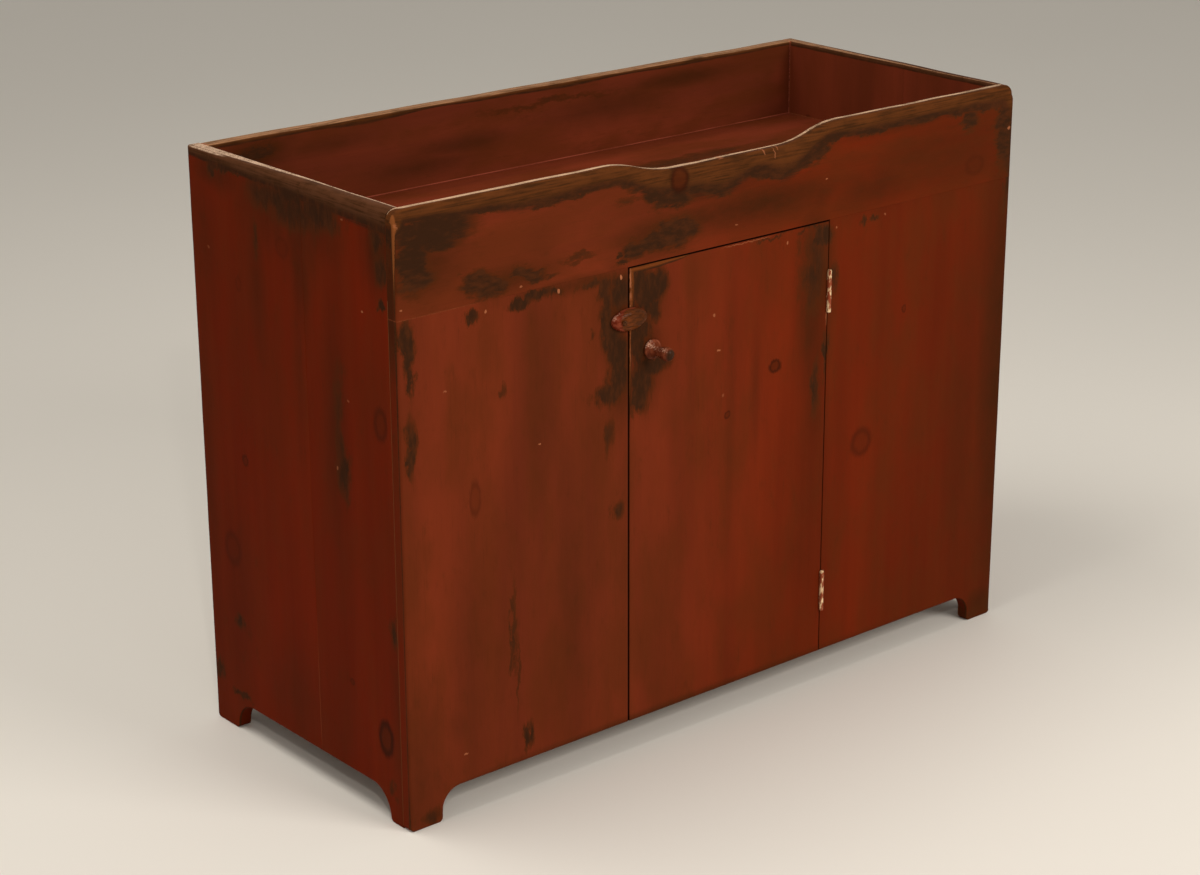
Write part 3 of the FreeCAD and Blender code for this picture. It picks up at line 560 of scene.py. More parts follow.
# On the front, by x and z.
FRONT_DARK = rows(
    # The rail: its left corner and along under its top edge.
    (-548, 878, 70, 23, 1.0), (-582, 835, 26, 40, 1.0), (-572, 815, 28, 16, 0.9), (-535, 855, 36, 12, 0.7),
    (-455, 893, 56, 6, 0.9), (-375, 888, 50, 7, 0.9), (-300, 889, 50, 5, 0.8), (-215, 885, 44, 5, 0.7),
    # The rail: a row of patches over the left stile.
    (-475, 792, 28, 15, 1.0), (-448, 782, 28, 15, 1.0), (-395, 790, 18, 9, 0.9), (-376, 781, 22, 6, 0.75),
    (-345, 778, 16, 4, 0.5), (-290, 794, 36, 4, 0.38),
    # The left stile: along its top.
    (-485, 744, 12, 10, 1.0), (-400, 750, 22, 9, 0.95), (-372, 756, 28, 8, 0.8), (-338, 752, 18, 6, 0.65),
    (-272, 750, 26, 6, 0.7),
    # The left stile: round the button.
    (-246, 738, 12, 18, 0.8), (-244, 700, 11, 36, 0.85), (-234, 668, 20, 26, 0.85), (-222, 636, 18, 34, 0.8),
    (-222, 602, 20, 28, 0.85), (-240, 580, 28, 16, 0.95), (-275, 672, 5, 9, 0.6), (-219, 730, 20, 28, 0.7),
    # The door: round the knob.
    (-180, 735, 15, 24, 0.8), (-150, 726, 22, 26, 0.95), (-170, 704, 14, 24, 0.85), (-152, 690, 12, 16, 0.8),
    (-178, 664, 20, 20, 0.85), (-182, 636, 14, 34, 0.75), (-150, 606, 32, 14, 0.75),
    (-178, 588, 24, 28, 0.8), (-182, 560, 17, 24, 0.95),
    # The rail: over the door's free corner.
    (-218, 783, 5, 4, 0.9), (-212, 771, 13, 4, 0.7), (-188, 787, 24, 14, 0.9), (-150, 792, 38, 16, 0.95),
    (-112, 798, 42, 21, 1.0), (-84, 796, 22, 10, 0.8),
    # The rail: under the dip.
    (-176, 879, 26, 8, 0.8), (-150, 862, 22, 12, 0.9), (-118, 848, 38, 12, 1.0), (-200, 861, 26, 6, 0.4),
    (-60, 858, 32, 7, 0.8), (-102, 874, 13, 15, 0.8), (-26, 846, 24, 8, 0.85), (30, 866, 22, 10, 1.0),
    (56, 861, 24, 12, 0.95), (86, 852, 30, 8, 0.95), (130, 855, 32, 7, 0.8), (152, 866, 20, 10, 0.85),
    (175, 875, 24, 13, 1.0), (206, 889, 30, 7, 0.85),
    # The rail: its right end.
    (400, 891, 220, 7, 0.8), (508, 869, 19, 15, 0.9), (550, 888, 56, 8, 0.8), (598, 850, 26, 66, 0.9),
    (605, 765, 12, 56, 0.6),
    # The left stile: its outer arris, its face and its foot.
    (-594, 724, 12, 38, 0.95), (-589, 680, 5, 30, 0.6), (-592, 575, 8, 42, 0.8), (-432, 626, 7, 10, 0.4),
    (-238, 520, 10, 26, 0.5), (-222, 396, 14, 14, 0.6), (-420, 262, 5, 80, 0.5), (-412, 200, 4, 60, 0.45),
    (-392, 86, 7, 22, 0.7), (-572, 14, 22, 13, 0.45),
    # The door and the stile beside its hinges.
    (188, 742, 20, 16, 0.95), (172, 690, 32, 70, 0.5), (165, 757, 30, 4, 0.6), (80, 757, 34, 2.4, 0.6),
    (213, 668, 8, 24, 0.55), (198, 548, 5, 34, 0.75), (180, 500, 9, 50, 0.5),
    # The right stile.
    (276, 748, 6, 9, 0.6), (298, 747, 9, 6, 0.6), (556, 13, 34, 12, 0.4), (600, 20, 20, 26, 0.4),
)
FRONT_SHADE = rows(
    (-225, 700, 38, 100, 1.0), (-214, 610, 34, 90, 1.0), (-165, 712, 48, 66, 1.0), (-172, 618, 46, 84, 1.0),
    (-150, 798, 96, 40, 1.0), (-60, 812, 120, 28, 0.9), (-300, 756, 140, 16, 0.7), (-420, 786, 110, 26, 0.8),
    (-560, 845, 80, 76, 0.9), (-40, 850, 170, 26, 0.8), (170, 650, 44, 190, 1.0), (50, 812, 230, 42, 1.0),
    (178, 480, 30, 150, 0.5), (172, 350, 44, 240, 0.3), (0, 520, 12, 300, 0.3), (52, 520, 14, 120, 0.45),
    (-80, 640, 16, 180, 0.3), (-300, 300, 60, 320, 0.35), (-360, 620, 40, 260, 0.35),
    (-500, 220, 34, 260, 0.3), (-372, 550, 24, 44, 0.4), (40, 800, 150, 30, 0.5), (180, 806, 50, 34, 0.7),
    (-520, 140, 40, 40, 0.35), (-590, 60, 70, 190, 0.6), (604, 450, 70, 560, 1.0), (612, 400, 40, 620, 1.0),
    (590, 24, 50, 44, 1.0), (-100, 50, 560, 10, 0.8), (604, 830, 44, 110, 1.0), (524, 330, 56, 460, 0.5),
    (440, 836, 290, 90, 0.6), (300, 800, 130, 50, 0.8), (350, 886, 220, 20, 0.7), (150, 225, 50, 70, 0.3),
)
FRONT_LIGHT = rows(
    (100, 620, 40, 190, 0.5), (-20, 330, 60, 300, 0.35), (-390, 840, 130, 34, 0.4),
    (-330, 832, 120, 34, 0.5), (-540, 780, 60, 16, 0.5), (-560, 400, 30, 330, 0.35),
    (-450, 600, 50, 160, 0.35), (545, 12, 12, 10, 0.3),
)
FRONT_KNOTS = rows(
    (-484, 480, 10, 26, 0.3), (92, 552, 12, 10, 0.75), (-6, 496, 6, 6, 0.6), (284, 385, 22, 23, 0.4),
    (524, 796, 21, 16, 0.22), (-105, 876, 17, 19, 0.75), (372, 588, 5, 6, 0.5),
)
FRONT_NICKS = rows(
    # Painted highlights: the three thin ones at x -198 on the door's arris, and (-606, 893) on the rail's
    # corner.
    (199, 606, 2, 14, 0.5), (-198, 746, 1.6, 18, 0.9), (-198, 702, 0.9, 34, 0.6), (-198, 640, 0.8, 40, 0.35),
    (30, 758, 60, 0.9, 0.45), (-216, 751, 2.2, 4, 1.0), (-331, 752, 2.2, 4, 0.9), (-460, 748, 2, 3, 0.8),
    (-398, 772, 3, 1.6, 0.6), (-602, 778, 3, 1.6, 0.7), (-34, 658, 2.4, 3.6, 0.6), (-25, 602, 4, 1.6, 0.8),
    (113, 742, 2.4, 3.4, 0.7), (217, 748, 2, 2.4, 0.6), (192, 828, 2.6, 1.8, 0.7), (322, 751, 2, 2, 0.5),
    (8, 789, 4, 1.4, 0.5), (-368, 534, 4, 1.6, 0.8), (-532, 648, 3, 1.6, 0.5), (-510, 93, 5, 1.6, 0.7),
    (-16, 529, 3, 3, 0.3), (601, 845, 4, 4, 0.7), (64, 890, 1.4, 7, 0.6), (84, 884, 1.2, 9, 0.55),
    (92, 893, 1.2, 7, 0.6), (-18, 893, 7, 2, 0.5), (-606, 893, 2, 5, 0.4),
)
# On the left end, by y and z.
LEFT_DARK = rows(
    (213, 890, 13, 10, 0.8), (190, 897, 40, 7, 0.75), (120, 897, 60, 5, 0.6), (76, 878, 50, 24, 0.62),
    (10, 868, 60, 30, 0.6), (40, 876, 22, 18, 0.75), (15, 886, 44, 13, 0.7), (-56, 876, 48, 26, 0.75),
    (-76, 890, 28, 10, 0.8), (-150, 899, 50, 5, 0.8), (-198, 892, 46, 10, 0.9), (-192, 868, 15, 20, 0.7),
    (-198, 826, 14, 26, 0.6), (-197, 778, 9, 7, 0.9), (107, 812, 6, 34, 0.45), (-96, 508, 18, 34, 0.65),
    (-88, 580, 11, 90, 0.45), (-206, 300, 10, 24, 0.6), (198, 188, 12, 12, 0.6), (266, 85, 12, 18, 0.7),
    (-190, 50, 9, 14, 0.5), (205, 60, 22, 5, 0.8),
)
LEFT_SHADE = rows(
    (60, 862, 100, 80, 0.7), (0, 850, 70, 110, 0.8), (-40, 860, 80, 70, 0.75), (-5, 790, 36, 130, 0.7),
    (107, 770, 26, 180, 0.55), (-195, 856, 50, 80, 1.0), (210, 884, 80, 34, 0.8), (8, 660, 22, 260, 0.4),
    (-76, 580, 36, 200, 0.6), (262, 450, 30, 470, 0.5), (252, 800, 56, 150, 0.5), (-216, 150, 26, 220, 0.5),
    (60, 110, 160, 110, 0.3), (190, 200, 70, 190, 0.4),
)
LEFT_LIGHT = rows(
    (-150, 800, 44, 150, 0.5), (30, 420, 60, 300, 0.3), (220, 30, 30, 60, 0.4), (0, 480, 30, 260, 0.3),
)
LEFT_KNOTS = rows(
    (39, 809, 16, 15, 0.18), (-188, 606, 15, 24, 0.4), (161, 457, 8, 9, 0.5), (208, 303, 21, 27, 0.3),
    (-178, 129, 17, 27, 0.85), (156, 730, 7, 12, 0.2), (-98, 190, 5, 5, 0.5),
)
LEFT_NICKS = rows(
    (-153, 760, 3, 2, 0.8), (233, 770, 3, 3, 0.3), (-112, 880, 3, 1.6, 0.4), (-80, 513, 2, 4, 0.5),
    (-222, 733, 2, 4, 0.5), (-112, 620, 3, 2, 0.4),
)
FRONT_MARKS = Marks(FRONT_DARK, FRONT_SHADE, FRONT_LIGHT, FRONT_KNOTS, FRONT_NICKS)
LEFT_MARKS = Marks(LEFT_DARK, LEFT_SHADE, LEFT_LIGHT, LEFT_KNOTS, LEFT_NICKS)
# On the right end by y and z, on the well's back by x and z, on its floor by x and y.
RIGHT_MARKS = Marks(
    dark=rows((60, 884, 70, 22, 0.8), (-190, 840, 30, 60, 0.9), (160, 640, 16, 60, 0.6)),
    shade=rows((-120, 500, 30, 300, 0.5), (150, 400, 30, 360, 0.4)),
    light=rows((20, 560, 70, 260, 0.4)),
    knots=rows((-70, 690, 14, 18, 0.45), (120, 260, 18, 22, 0.35), (210, 780, 10, 12, 0.4)),
    nicks=rows((40, 700, 2, 3, 0.6), (-150, 420, 3, 2, 0.6)),
)
BACK_RIM_MARKS = Marks(
    dark=rows((-505, 890, 44, 12, 0.7), (40, 884, 150, 6, 0.4)),
    shade=rows(
        (-505, 884, 80, 30, 1.0), (-380, 880, 110, 16, 0.5), (-200, 820, 140, 24, 0.7),
        (-120, 842, 110, 22, 0.8), (180, 860, 160, 34, 0.7), (330, 884, 150, 18, 0.9),
    ),
    light=rows((60, 810, 200, 18, 0.5), (560, 850, 24, 60, 0.9)),
    knots=[],
    nicks=[],
)
FLOOR_MARKS = Marks(
    dark=rows((-300, -120, 160, 30, 0.5), (200, 120, 220, 24, 0.5)),
    shade=rows((-420, 40, 160, 80, 0.6), (120, -40, 260, 60, 0.5)),
    light=rows((200, 200, 300, 30, 0.5)),
    knots=[],
    nicks=[],
)


def reaching(marks, low, high):
    """The marks whose ellipses reach into a box of u and v."""
    return [
        mark
        for mark in marks
        if low[0] - mark.wide < mark.u < high[0] + mark.wide
        and low[1] - mark.tall < mark.v < high[1] + mark.tall
    ]


def hill(finish, plane, mark, start, end):
    """A mark's ellipse: nothing outside it, rising to its strength inside. start and
    end are shares of its size. Also the distance from its middle as such a share."""
    factors = (1 / mark.wide, 1 / mark.tall, 0.0)
    centred = finish.scaled(plane, factors, (-mark.u / mark.wide, -mark.v / mark.tall, 0.0))
    radius = finish.node("ShaderNodeVectorMath", {"operation": "LENGTH"}, {0: centred}, "Value")
    return radius.ramp(start, end, mark.strength), radius


def highest(finish, plane, marks, start, end):
    """The highest of the marks' hills, or None without marks."""
    total = None
    for mark in marks:
        rise, _ = hill(finish, plane, mark, start, end)
        total = rise if total is None else total.most(rise)
    return total


# ---- painted boards ----

class Paint(Finish):
    """Worn red-brown paint on a pine board. plane is "xz", "yz" or "xy", the two
    directions of the painted face, and grain the axis of the wood, along which the
    noises of its layers are drawn out."""

    def __init__(self, name, plane, grain, seed):
        super().__init__(name, Specular_IOR_Level=0.01)
        self.plane = plane
        self.broad = self.noise(drawn_out(grain, 90, 700), seed, 2.0)
        self.band = self.noise(drawn_out(grain, 16, 420), seed + 1, 3.0)
        self.fine = self.noise(drawn_out(grain, 1.5, 80), seed + 2, 3.0, 0.6)
        self.cloud, warp = self.noises(drawn_out(grain, 20, 44), seed + 3, 6.0, 0.68)
        self.glaze = self.noise(drawn_out(grain, 70, 170), seed + 4, 4.0, 0.6)
        _, shake = self.noises(drawn_out(grain, 3, 14), seed + 5, 2.0)
        self.mottle = self.noise(drawn_out(grain, 7, 18), seed + 7, 4.0, 0.6)
        self.lines = self.noise([70, 70, 2.6], seed + 8, 4.0, 0.6)
        self.rub = self.attribute("rub")
        self.wall = self.attribute("wall")
        self.inside = self.attribute("inside")
        axes = {"x": self.x, "y": self.y, "z": self.z}
        self.flat = self.node("ShaderNodeCombineXYZ", {}, {"X": axes[plane[0]], "Y": axes[plane[1]]})
        self.steady = self.pulled(self.flat, shake, 7.0)
        self.loose = self.pulled(self.pulled(self.flat, warp, 46.0), shake, 7.0)

    def pulled(self, place, noise, reach):
        """Places moved about in their plane, by up to half the reach each way."""
        shift = self.scaled(noise, (reach, reach, 0.0), (-reach / 2, -reach / 2, 0.0))
        return self.node("ShaderNodeVectorMath", {"operation": "ADD"}, {0: place, 1: shift})

    def red(self, tone, brown, reds, light):
        """Red paint between a deep and a bright one, by the sum of three noises and
        the light marks, with old varnish in patches and thin dark streaks over it. The
        walls, a board's edge faces, are made deeper as painted shade, take the ends'
        shaded red on boards in the x-z plane, and turn browner from 640 mm up."""
        # The lower level on the walls is painted shade.
        level = self.broad * 0.85 + self.band * 0.35 + self.fine * 0.25 - 0.245 + tone - 0.15 * self.wall
        if self.plane == "xz":
            level = level - 0.16 * self.x.ramp(250, 600)
        if light is not None:
            level = level + light * 0.3
        share = level.ramp(0.0, 1.0)
        if reds is None:
            across = self.x.ramp(-250, 200)
            reds = self.mix(RED_DEEP, DOOR_DEEP, across), self.mix(RED_BRIGHT, DOOR_BRIGHT, across)
        colour = self.mix(*reds, share)
        # Painted shade: walls of boards in the x-z plane take the ends' shaded red.
        if self.plane == "xz":
            colour = self.mix(colour, self.mix(END_SHADE_DEEP, END_SHADE_BRIGHT, share), self.wall)
        if self.plane == "yz":
            colour = self.mix(colour, self.mix(WELL_DEEP, WELL_BRIGHT, share), self.inside)
        colour = self.mix(colour, GLAZE, (self.glaze + self.band * 0.3).ramp(0.5, 0.85, brown))
        colour = self.mix(colour, SMOKE, self.wall * self.z.ramp(640, 760, 0.75))
        return self.mix(colour, RED_STREAK, self.fine.ramp(0.5, 0.8, 0.24))

    def worn_through(self, colour, spots, woods):
        """Rubbing is shaken by noise. The dark undercoat shows above one level of it
        and the wood above a higher one, and ragged spots of undercoat lie on the
        marks. Gives the colour and the undercoat's share."""
        shaken = self.rub + (self.lines - 0.5) * 0.3 + (self.cloud - 0.5) * 0.2
        dark = shaken.ramp(0.33, 0.5)
        if spots is not None:
            ragged = (self.cloud - 0.5) * 1.2 + (self.mottle - 0.5) * 0.6 + (self.fine - 0.5) * 0.3
            spread = spots * 1.1 + ragged * 0.65 - self.inside
            colour = self.mix(colour, HALO, spread.ramp(0.02, 0.4, 0.75))
            dark = dark.most(spread.ramp(0.28, 0.72))
        undercoat = self.mix(DARK, DARK_THIN, (self.mottle * 0.7 + self.glaze * 0.5).ramp(0.5, 0.8))
        colour = self.mix(colour, undercoat, dark * 0.9)
        bare = shaken.ramp(0.52, 0.72).most(self.wall * self.z.ramp(886, 902))
        wood = self.mix(*woods, (self.lines * 0.7 + self.cloud * 0.4).ramp(0.44, 0.72))
        # Down the rail's left corner arris the bare wood is lighter: worn wood with a painted highlight.
        corner = (self.x - LEFT_X).ramp(5, 2.5) * self.z.ramp(780, 840) * self.y.ramp(BOARD_Y, FRONT_Y + 9)
        wood = self.mix(wood, WOOD_CORNER_HIGHLIGHT, corner * (1 - self.wall))
        return self.mix(colour, wood, bare), dark

    def knotted(self, colour, knots):
        """Each knot is a brown heart in a soft dark ring. Gives the colour and the
        rings, which are None without knots."""
        rings = None
        for mark in knots:
            heart, radius = hill(self, self.steady, mark, 1.05, 0.8)
            ring = (radius - 0.88).size().ramp(0.42, 0.02, 0.8 * mark.strength)
            colour = self.mix(colour, KNOT_HEART, heart * 0.95)
            colour = self.mix(colour, KNOT_RING, ring)
            rings = ring if rings is None else rings.most(ring)
        return colour, rings


def inner_face_below_well(paint):
    """The inside of a board that stands up past the well floor, under that floor."""
    return paint.inside * paint.z.ramp(WELL_Z + 1, WELL_Z - 1)


def back_of_rim(paint):
    """The back of the well's tall rim, the last 5 mm of its thickness."""
    return paint.y.ramp(BACK_HIGH[1] - 5, BACK_HIGH[1] - 4.5)


def under_well_floor(paint):
    """All of the well floor's boards but their top half-millimetre."""
    return paint.z.ramp(WELL_Z - 0.5, WELL_Z - 1)


def rail_seam(paint):
    """The pale line where paint has cracked over the joint under the rail."""
    near = (paint.z - SEAM_Z).size().ramp(1.3, 0.3)
    left = paint.x.ramp(-440, -520)
    return near * left * paint.fine.ramp(0.35, 0.6, 0.8)


def end_seams(paint):
    """The pale crack at the foot of the glue joint in an end, and in the well the
    light lines down the corner behind it and along the floor."""
    near = (paint.y - SIDE_HIGH[1]).size().ramp(1.2, 0.3)
    crack = near * paint.z.ramp(290, 180) * paint.fine.ramp(0.3, 0.6, 0.8)
    corner = paint.y.ramp(BACK_LOW[1] - 2.5, BACK_LOW[1] - 0.5, 0.6)
    foot = (paint.z - WELL_Z).size().ramp(1.8, 0.6, 0.7)
    return crack.most(corner.most(foot) * paint.inside)


def well_back_seams(paint):
    """The light lines along the well floor and down the well's corners."""
    near = (paint.z - WELL_Z).size().ramp(1.8, 0.6)
    corner = (BACK_HIGH[0] - paint.x.size()).ramp(3.0, 0.8)
    return near.most(corner) * paint.fine.ramp(0.3, 0.6, 0.75)


def well_floor_seam(paint):
    """The light line along the foot of the well's back."""
    near = (BACK_LOW[1] - paint.y).ramp(1.8, 0.6)
    return near * paint.fine.ramp(0.3, 0.6, 0.6)


def painted_board(
    name, plane, grain, marks, low, high, seed, tone=0.0, brown=0.5, woods=WOODS, reds=None,
    pale=RIM_PALE_SHEEN, seams=None, seam_colour=SEAM, unpainted=inner_face_below_well,
):
    """Bare wood, a dark undercoat, red paint and old varnish, in layers from below.

    Of the marks, those that reach into the board's face, from low to high, are
    drawn. tone lifts the red, and brown is how much old varnish lies on it. woods
    are the light and deep bare wood, reds the deep and bright paint and pale the
    rubbed rim's colour, with painted sheen in it. seams and unpainted work out from
    the paint where light lines run and where it was never laid."""
    paint = Paint(name, plane, grain, seed)
    near = Marks(*(reaching(kind, low, high) for kind in marks))
    colour = paint.red(tone, brown, reds, highest(paint, paint.flat, near.light, 1.2, 0.0))
    shade = highest(paint, paint.flat, near.shade, 1.3, 0.0)
    if shade is not None:
        colour = paint.mix(colour, SMOKE, shade * (0.4 + 0.7 * paint.cloud) * (1 - 0.85 * paint.wall))
    spots = highest(paint, paint.loose, near.dark, 1.6, 0.2)
    colour, dark = paint.worn_through(colour, spots, woods)
    colour, rings = paint.knotted(colour, near.knots)
    # The rim is pale from wear and from painted sheen.
    rim = paint.mix(pale, RIM_DEEP, (paint.fine * 0.7 + paint.cloud * 0.5).ramp(0.52, 0.78))
    colour = paint.mix(colour, rim, paint.attribute("rim").ramp(0.15, 0.75))
    nicks = highest(paint, paint.steady, near.nicks, 1.0, 0.6)
    if nicks is not None:
        colour = paint.mix(colour, NICK, nicks)
    if seams is not None:
        colour = paint.mix(colour, seam_colour, seams(paint))
    height = paint.band * 0.4 + paint.fine * 0.3 + paint.cloud * 0.5
    if rings is not None:
        height = height - rings * 0.4
    hidden = unpainted(paint)
    pine, _ = bare_pine(paint, grain, seed + 6)
    colour = paint.mix(colour, pine, hidden)
    # Painted shade: the faces that look into the gap round the door go near black.
    colour = paint.mix(colour, GAP_SHADE, paint.attribute("gap"))
    roughness = 0.38 + 0.16 * paint.cloud + 0.08 * dark + hidden * 0.3
    return paint.complete(colour, roughness, height, 0.0005)


# ---- bare wood, turned wood and metal ----

def pine_board(name, grain, seed):
    """Unpainted pine, its grain along one axis, with faint stains."""
    finish = Finish(name, Specular_IOR_Level=0.3)
    colour, height = bare_pine(finish, grain, seed)
    stain = finish.noise([160] * 3, seed + 9, 3.0)
    colour = finish.mix(colour, srgb(70, 48, 32), stain.ramp(0.5, 0.75, 0.4))
    return finish.complete(colour, 0.62 + stain * 0.2, height, 0.0004)


def turned_wood():
    """Red paint polished by hands, on the knob: brown-red lip, dark worn end, painted highlight and shade."""
    finish = Finish("painted_turned_wood", Specular_IOR_Level=0.035)
    cloud = finish.noise([7] * 3, 41, 3.0)
    fine = finish.noise([9, 1.2, 9], 42, 3.0)
    # This noise breaks the painted highlights into spots.
    rubbed = finish.noise([2.4] * 3, 43, 3.0, 0.6)
    colour = finish.mix(srgb(98, 42, 24), srgb(134, 68, 43), (cloud * 0.7 + fine * 0.4).ramp(0.4, 0.7))
    brown = finish.mix(srgb(146, 84, 52), srgb(86, 48, 27), cloud.ramp(0.4, 0.6))
    bare = (finish.attribute("rub") + (cloud - 0.5) * 0.7).ramp(0.5, 0.62, 0.8)
    colour = finish.mix(colour, brown, bare)
    above = finish.z - KNOB_MIDDLE[2]
    ahead = (KNOB_MIDDLE[0] - finish.x).ramp(-3, 8)
    # Painted highlights on the knob's upper left.
    pale = (above.ramp(-1, 9) * ahead + (rubbed - 0.5) * 3.0).ramp(0.6, 1.2, 0.85)
    colour = finish.mix(colour, srgb(204, 152, 126), pale)
    # Painted shade below the knob's axis.
    colour = finish.mix(colour, srgb(50, 22, 12), above.ramp(-1, -9, 0.6))
    end = (KNOB_LOW[1] - finish.y + (cloud - 0.5) * 4).ramp(-6.0, -2.0)
    colour = finish.mix(colour, srgb(44, 30, 18), end * 0.9)
    return finish.complete(colour, 0.05 + cloud * 0.08, fine * 0.3 + cloud * 0.3, 0.0003)


def button_wood():
    """Brown varnished wood, darker about the screw, with pink-red left at its tail and painted highlights."""
    finish = Finish("turn_button_wood", Specular_IOR_Level=0.03)
    cloud = finish.noise([14, 6, 6], 51, 3.0)
    fine = finish.noise([22, 1.3, 1.3], 52, 4.0, 0.6)
    flecks = finish.noise([4, 2, 2], 53, 3.0, 0.6)
    rub = finish.attribute("rub")
    from_tail = finish.x - BUTTON_LOW[0]
    brown = finish.mix(srgb(112, 56, 24), srgb(70, 36, 15), (fine * 0.7 + cloud * 0.4).ramp(0.42, 0.66))
    brown = finish.mix(brown, srgb(62, 34, 16), (finish.x - BUTTON_MIDDLE[0]).ramp(-8, 12, 0.6))
    red = finish.mix(srgb(94, 32, 15), srgb(126, 56, 36), cloud.ramp(0.42, 0.6))
    painted = (rub * 0.7 + from_tail.ramp(26, 8) * 0.6 + (cloud - 0.5) * 0.5).ramp(0.5, 0.8)
    colour = finish.mix(brown, red, painted)
    # Pale spots near the tail: rubbing, with painted highlights on the upper side.
    above = (finish.z - BUTTON_MIDDLE[2]).ramp(1, 5)
    rubbed = (rub * 0.5 + above * 0.4 + (flecks - 0.5) * 1.6).ramp(0.75, 1.15, 0.8)
    colour = finish.mix(colour, srgb(196, 146, 122), rubbed * from_tail.ramp(18, 8))
    return finish.complete(colour, 0.05 + cloud * 0.08, fine * 0.2 + cloud * 0.3, 0.0003)


def screw_brown():
    """The button's screw head, painted over and rubbed brown."""
    finish = Finish("turn_button_screw_brown", Specular_IOR_Level=0.05)
    cloud = finish.noise([2] * 3, 56, 3.0)
    colour = finish.mix(srgb(88, 50, 26), srgb(50, 31, 18), cloud.ramp(0.4, 0.65))
    return finish.complete(colour, 0.08 + cloud * 0.08, cloud, 0.0001)


def hinge_metal():
    """Worn brass under flaking red paint and pale primer."""
    finish = Finish("hinge_brass_worn", Specular_IOR_Level=0.2)
    flake = finish.noise([2.6, 2.6, 8], 61, 4.0, 0.65)
    cloud = finish.noise([6, 6, 14], 62, 2.0)
    primer = finish.mix(srgb(232, 198, 154), srgb(190, 134, 92), cloud.ramp(0.42, 0.66))
    brass = finish.mix(primer, srgb(104, 78, 44), flake.ramp(0.56, 0.64, 0.85))
    painted = (flake * 0.6 + cloud * 0.6).ramp(0.57, 0.63)
    colour = finish.mix(brass, srgb(140, 62, 32), painted)
    metallic = (1 - painted) * flake.ramp(0.58, 0.68) * 0.8
    return finish.complete(colour, 0.42 + flake * 0.3, flake + cloud * 0.4, 0.0003, metallic)


def old_steel():
    """Darkened steel with brown rust."""
    finish = Finish("old_steel_dull", Specular_IOR_Level=0.5)
    rust = finish.noise([2.5] * 3, 71, 4.0, 0.6)
    colour = finish.mix(srgb(92, 84, 78), srgb(84, 50, 30), rust.ramp(0.45, 0.6))
    return finish.complete(colour, 0.42 + rust * 0.3, rust, 0.0002, rust.ramp(0.6, 0.45, 0.8))


# ---- boards ----

# Where a point (a, b) of a board's outline lies in space, t behind its outer face.

def front_place(a, b, t):
    return a, FRONT_Y + t, b


def left_place(a, b, t):
    return LEFT_X + t, a, b


def right_place(a, b, t):
    return RIGHT_X - t, a, b


def back_place(a, b, t):
    return a, BACK_LOW[1] + t, b


def dress(piece, body, slot, *nodes):
    """Hangs a piece on its body in place of its CAD nodes."""
    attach(piece, body)
    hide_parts(*nodes)


# Depth of the bare wood under the rail's top edge, by x.
RAIL_BAND_X = [-610, -560, -500, -450, -400, -350, -300, -250, -200, -170, -150, -104, -50, -20]
RAIL_BAND_X += [0, 20, 50, 80, 100, 130, 150, 170, 200, 250, 400, 560, 610]
RAIL_BAND = [12, 13, 17, 17, 23, 24, 20, 18, 19, 24, 27, 26, 33, 38]
RAIL_BAND += [34, 26, 20, 27, 34, 32, 23, 17, 15, 20, 19, 19, 22]
# Share of the rail's top edge that is rubbed pale and painted with sheen, by x; it ends at the corners.
RAIL_RIM_X, RAIL_RIM = [-20, 50, 120, 200, 330, 420], [0.8, 0.5, 0.45, 0.68, 0.66, 0.8]
RIM_END, RIM_END_RUN = 3, 20
# An end's top arris: the radius worn on it at the back, what it has grown by at the
# front, and the length over which the pale share of its top edge comes to all of it.
WEAR_BACK, WEAR_GROWTH, END_RIM_RUN = 3.5, 10.5, 420
# Width of the bare wood by z: down the rail's left arris, down a stile's outer arris
# and down the door's free edge; and by x along the door's top.
CORNER_BAND_Z, CORNER_BAND = [763, 800, 850, 914], [0.5, 0.8, 1.4, 2.2]
STILE_BAND_Z, STILE_BAND = [0, 60, 560, 700, 763], [1.0, 0.3, 0.4, 0.7, 0.9]
DOOR_BAND_Z, DOOR_BAND = [50, 520, 580, 660, 700, 740, 761], [0.3, 0.4, 1.6, 2.4, 5.5, 8.0, 7.0]
DOOR_TOP_X, DOOR_TOP_BAND = [-200, -150, -110, -80, 201], [6.5, 6.0, 3.5, 0.8, 0.3]


def build_rail():
    """The outline rail_top over a level foot, its top arris rounded by about 12 mm,
    with stations close together where the corners turn down."""
    corner = CORNER_R * (1 - np.cos(np.linspace(0, math.pi / 2, 9)))
    stations = spaced(LEFT_X, RIGHT_X, 7.0, [*(LEFT_X + corner), *(RIGHT_X - corner)])
    low, high = np.full(stations.shape, SEAM_Z), rail_top(stations)
    reach = 12 + 2 * waver(5, 160, stations)
    edges = {
        "high": Edge(reach, 0.62 * reach, np.interp(stations, RAIL_BAND_X, RAIL_BAND)),
        "low": TIGHT,
        "start": Edge(4.5, 3.6, np.interp(heights(low, high), CORNER_BAND_Z, CORNER_BAND)),
        "end": Edge(4.5, 3.6, 1.6),
    }
    paint = painted_board(
        "rail_paint", "xz", "x", FRONT_MARKS, RAIL_LOW[[0, 2]], RAIL_HIGH[[0, 2]], 1, 0.04,
        pale=RAIL_PALE_SHEEN, seams=rail_seam,
    )
    from_end = np.minimum(stations - LEFT_X, RIGHT_X - stations)
    rim = np.interp(stations, RAIL_RIM_X, RAIL_RIM) * np.clip((from_end - RIM_END) / RIM_END_RUN, 0, 1)
    inner = Edge(2.0, 1.6, 5.0)
    piece = slab(
        "worn_top_rail", front_place, stations, low, high, FRONT_T, edges, inner, paint, 11, rim
    )
    dress(piece, "cabinet", "painted_pine", "top_rail")


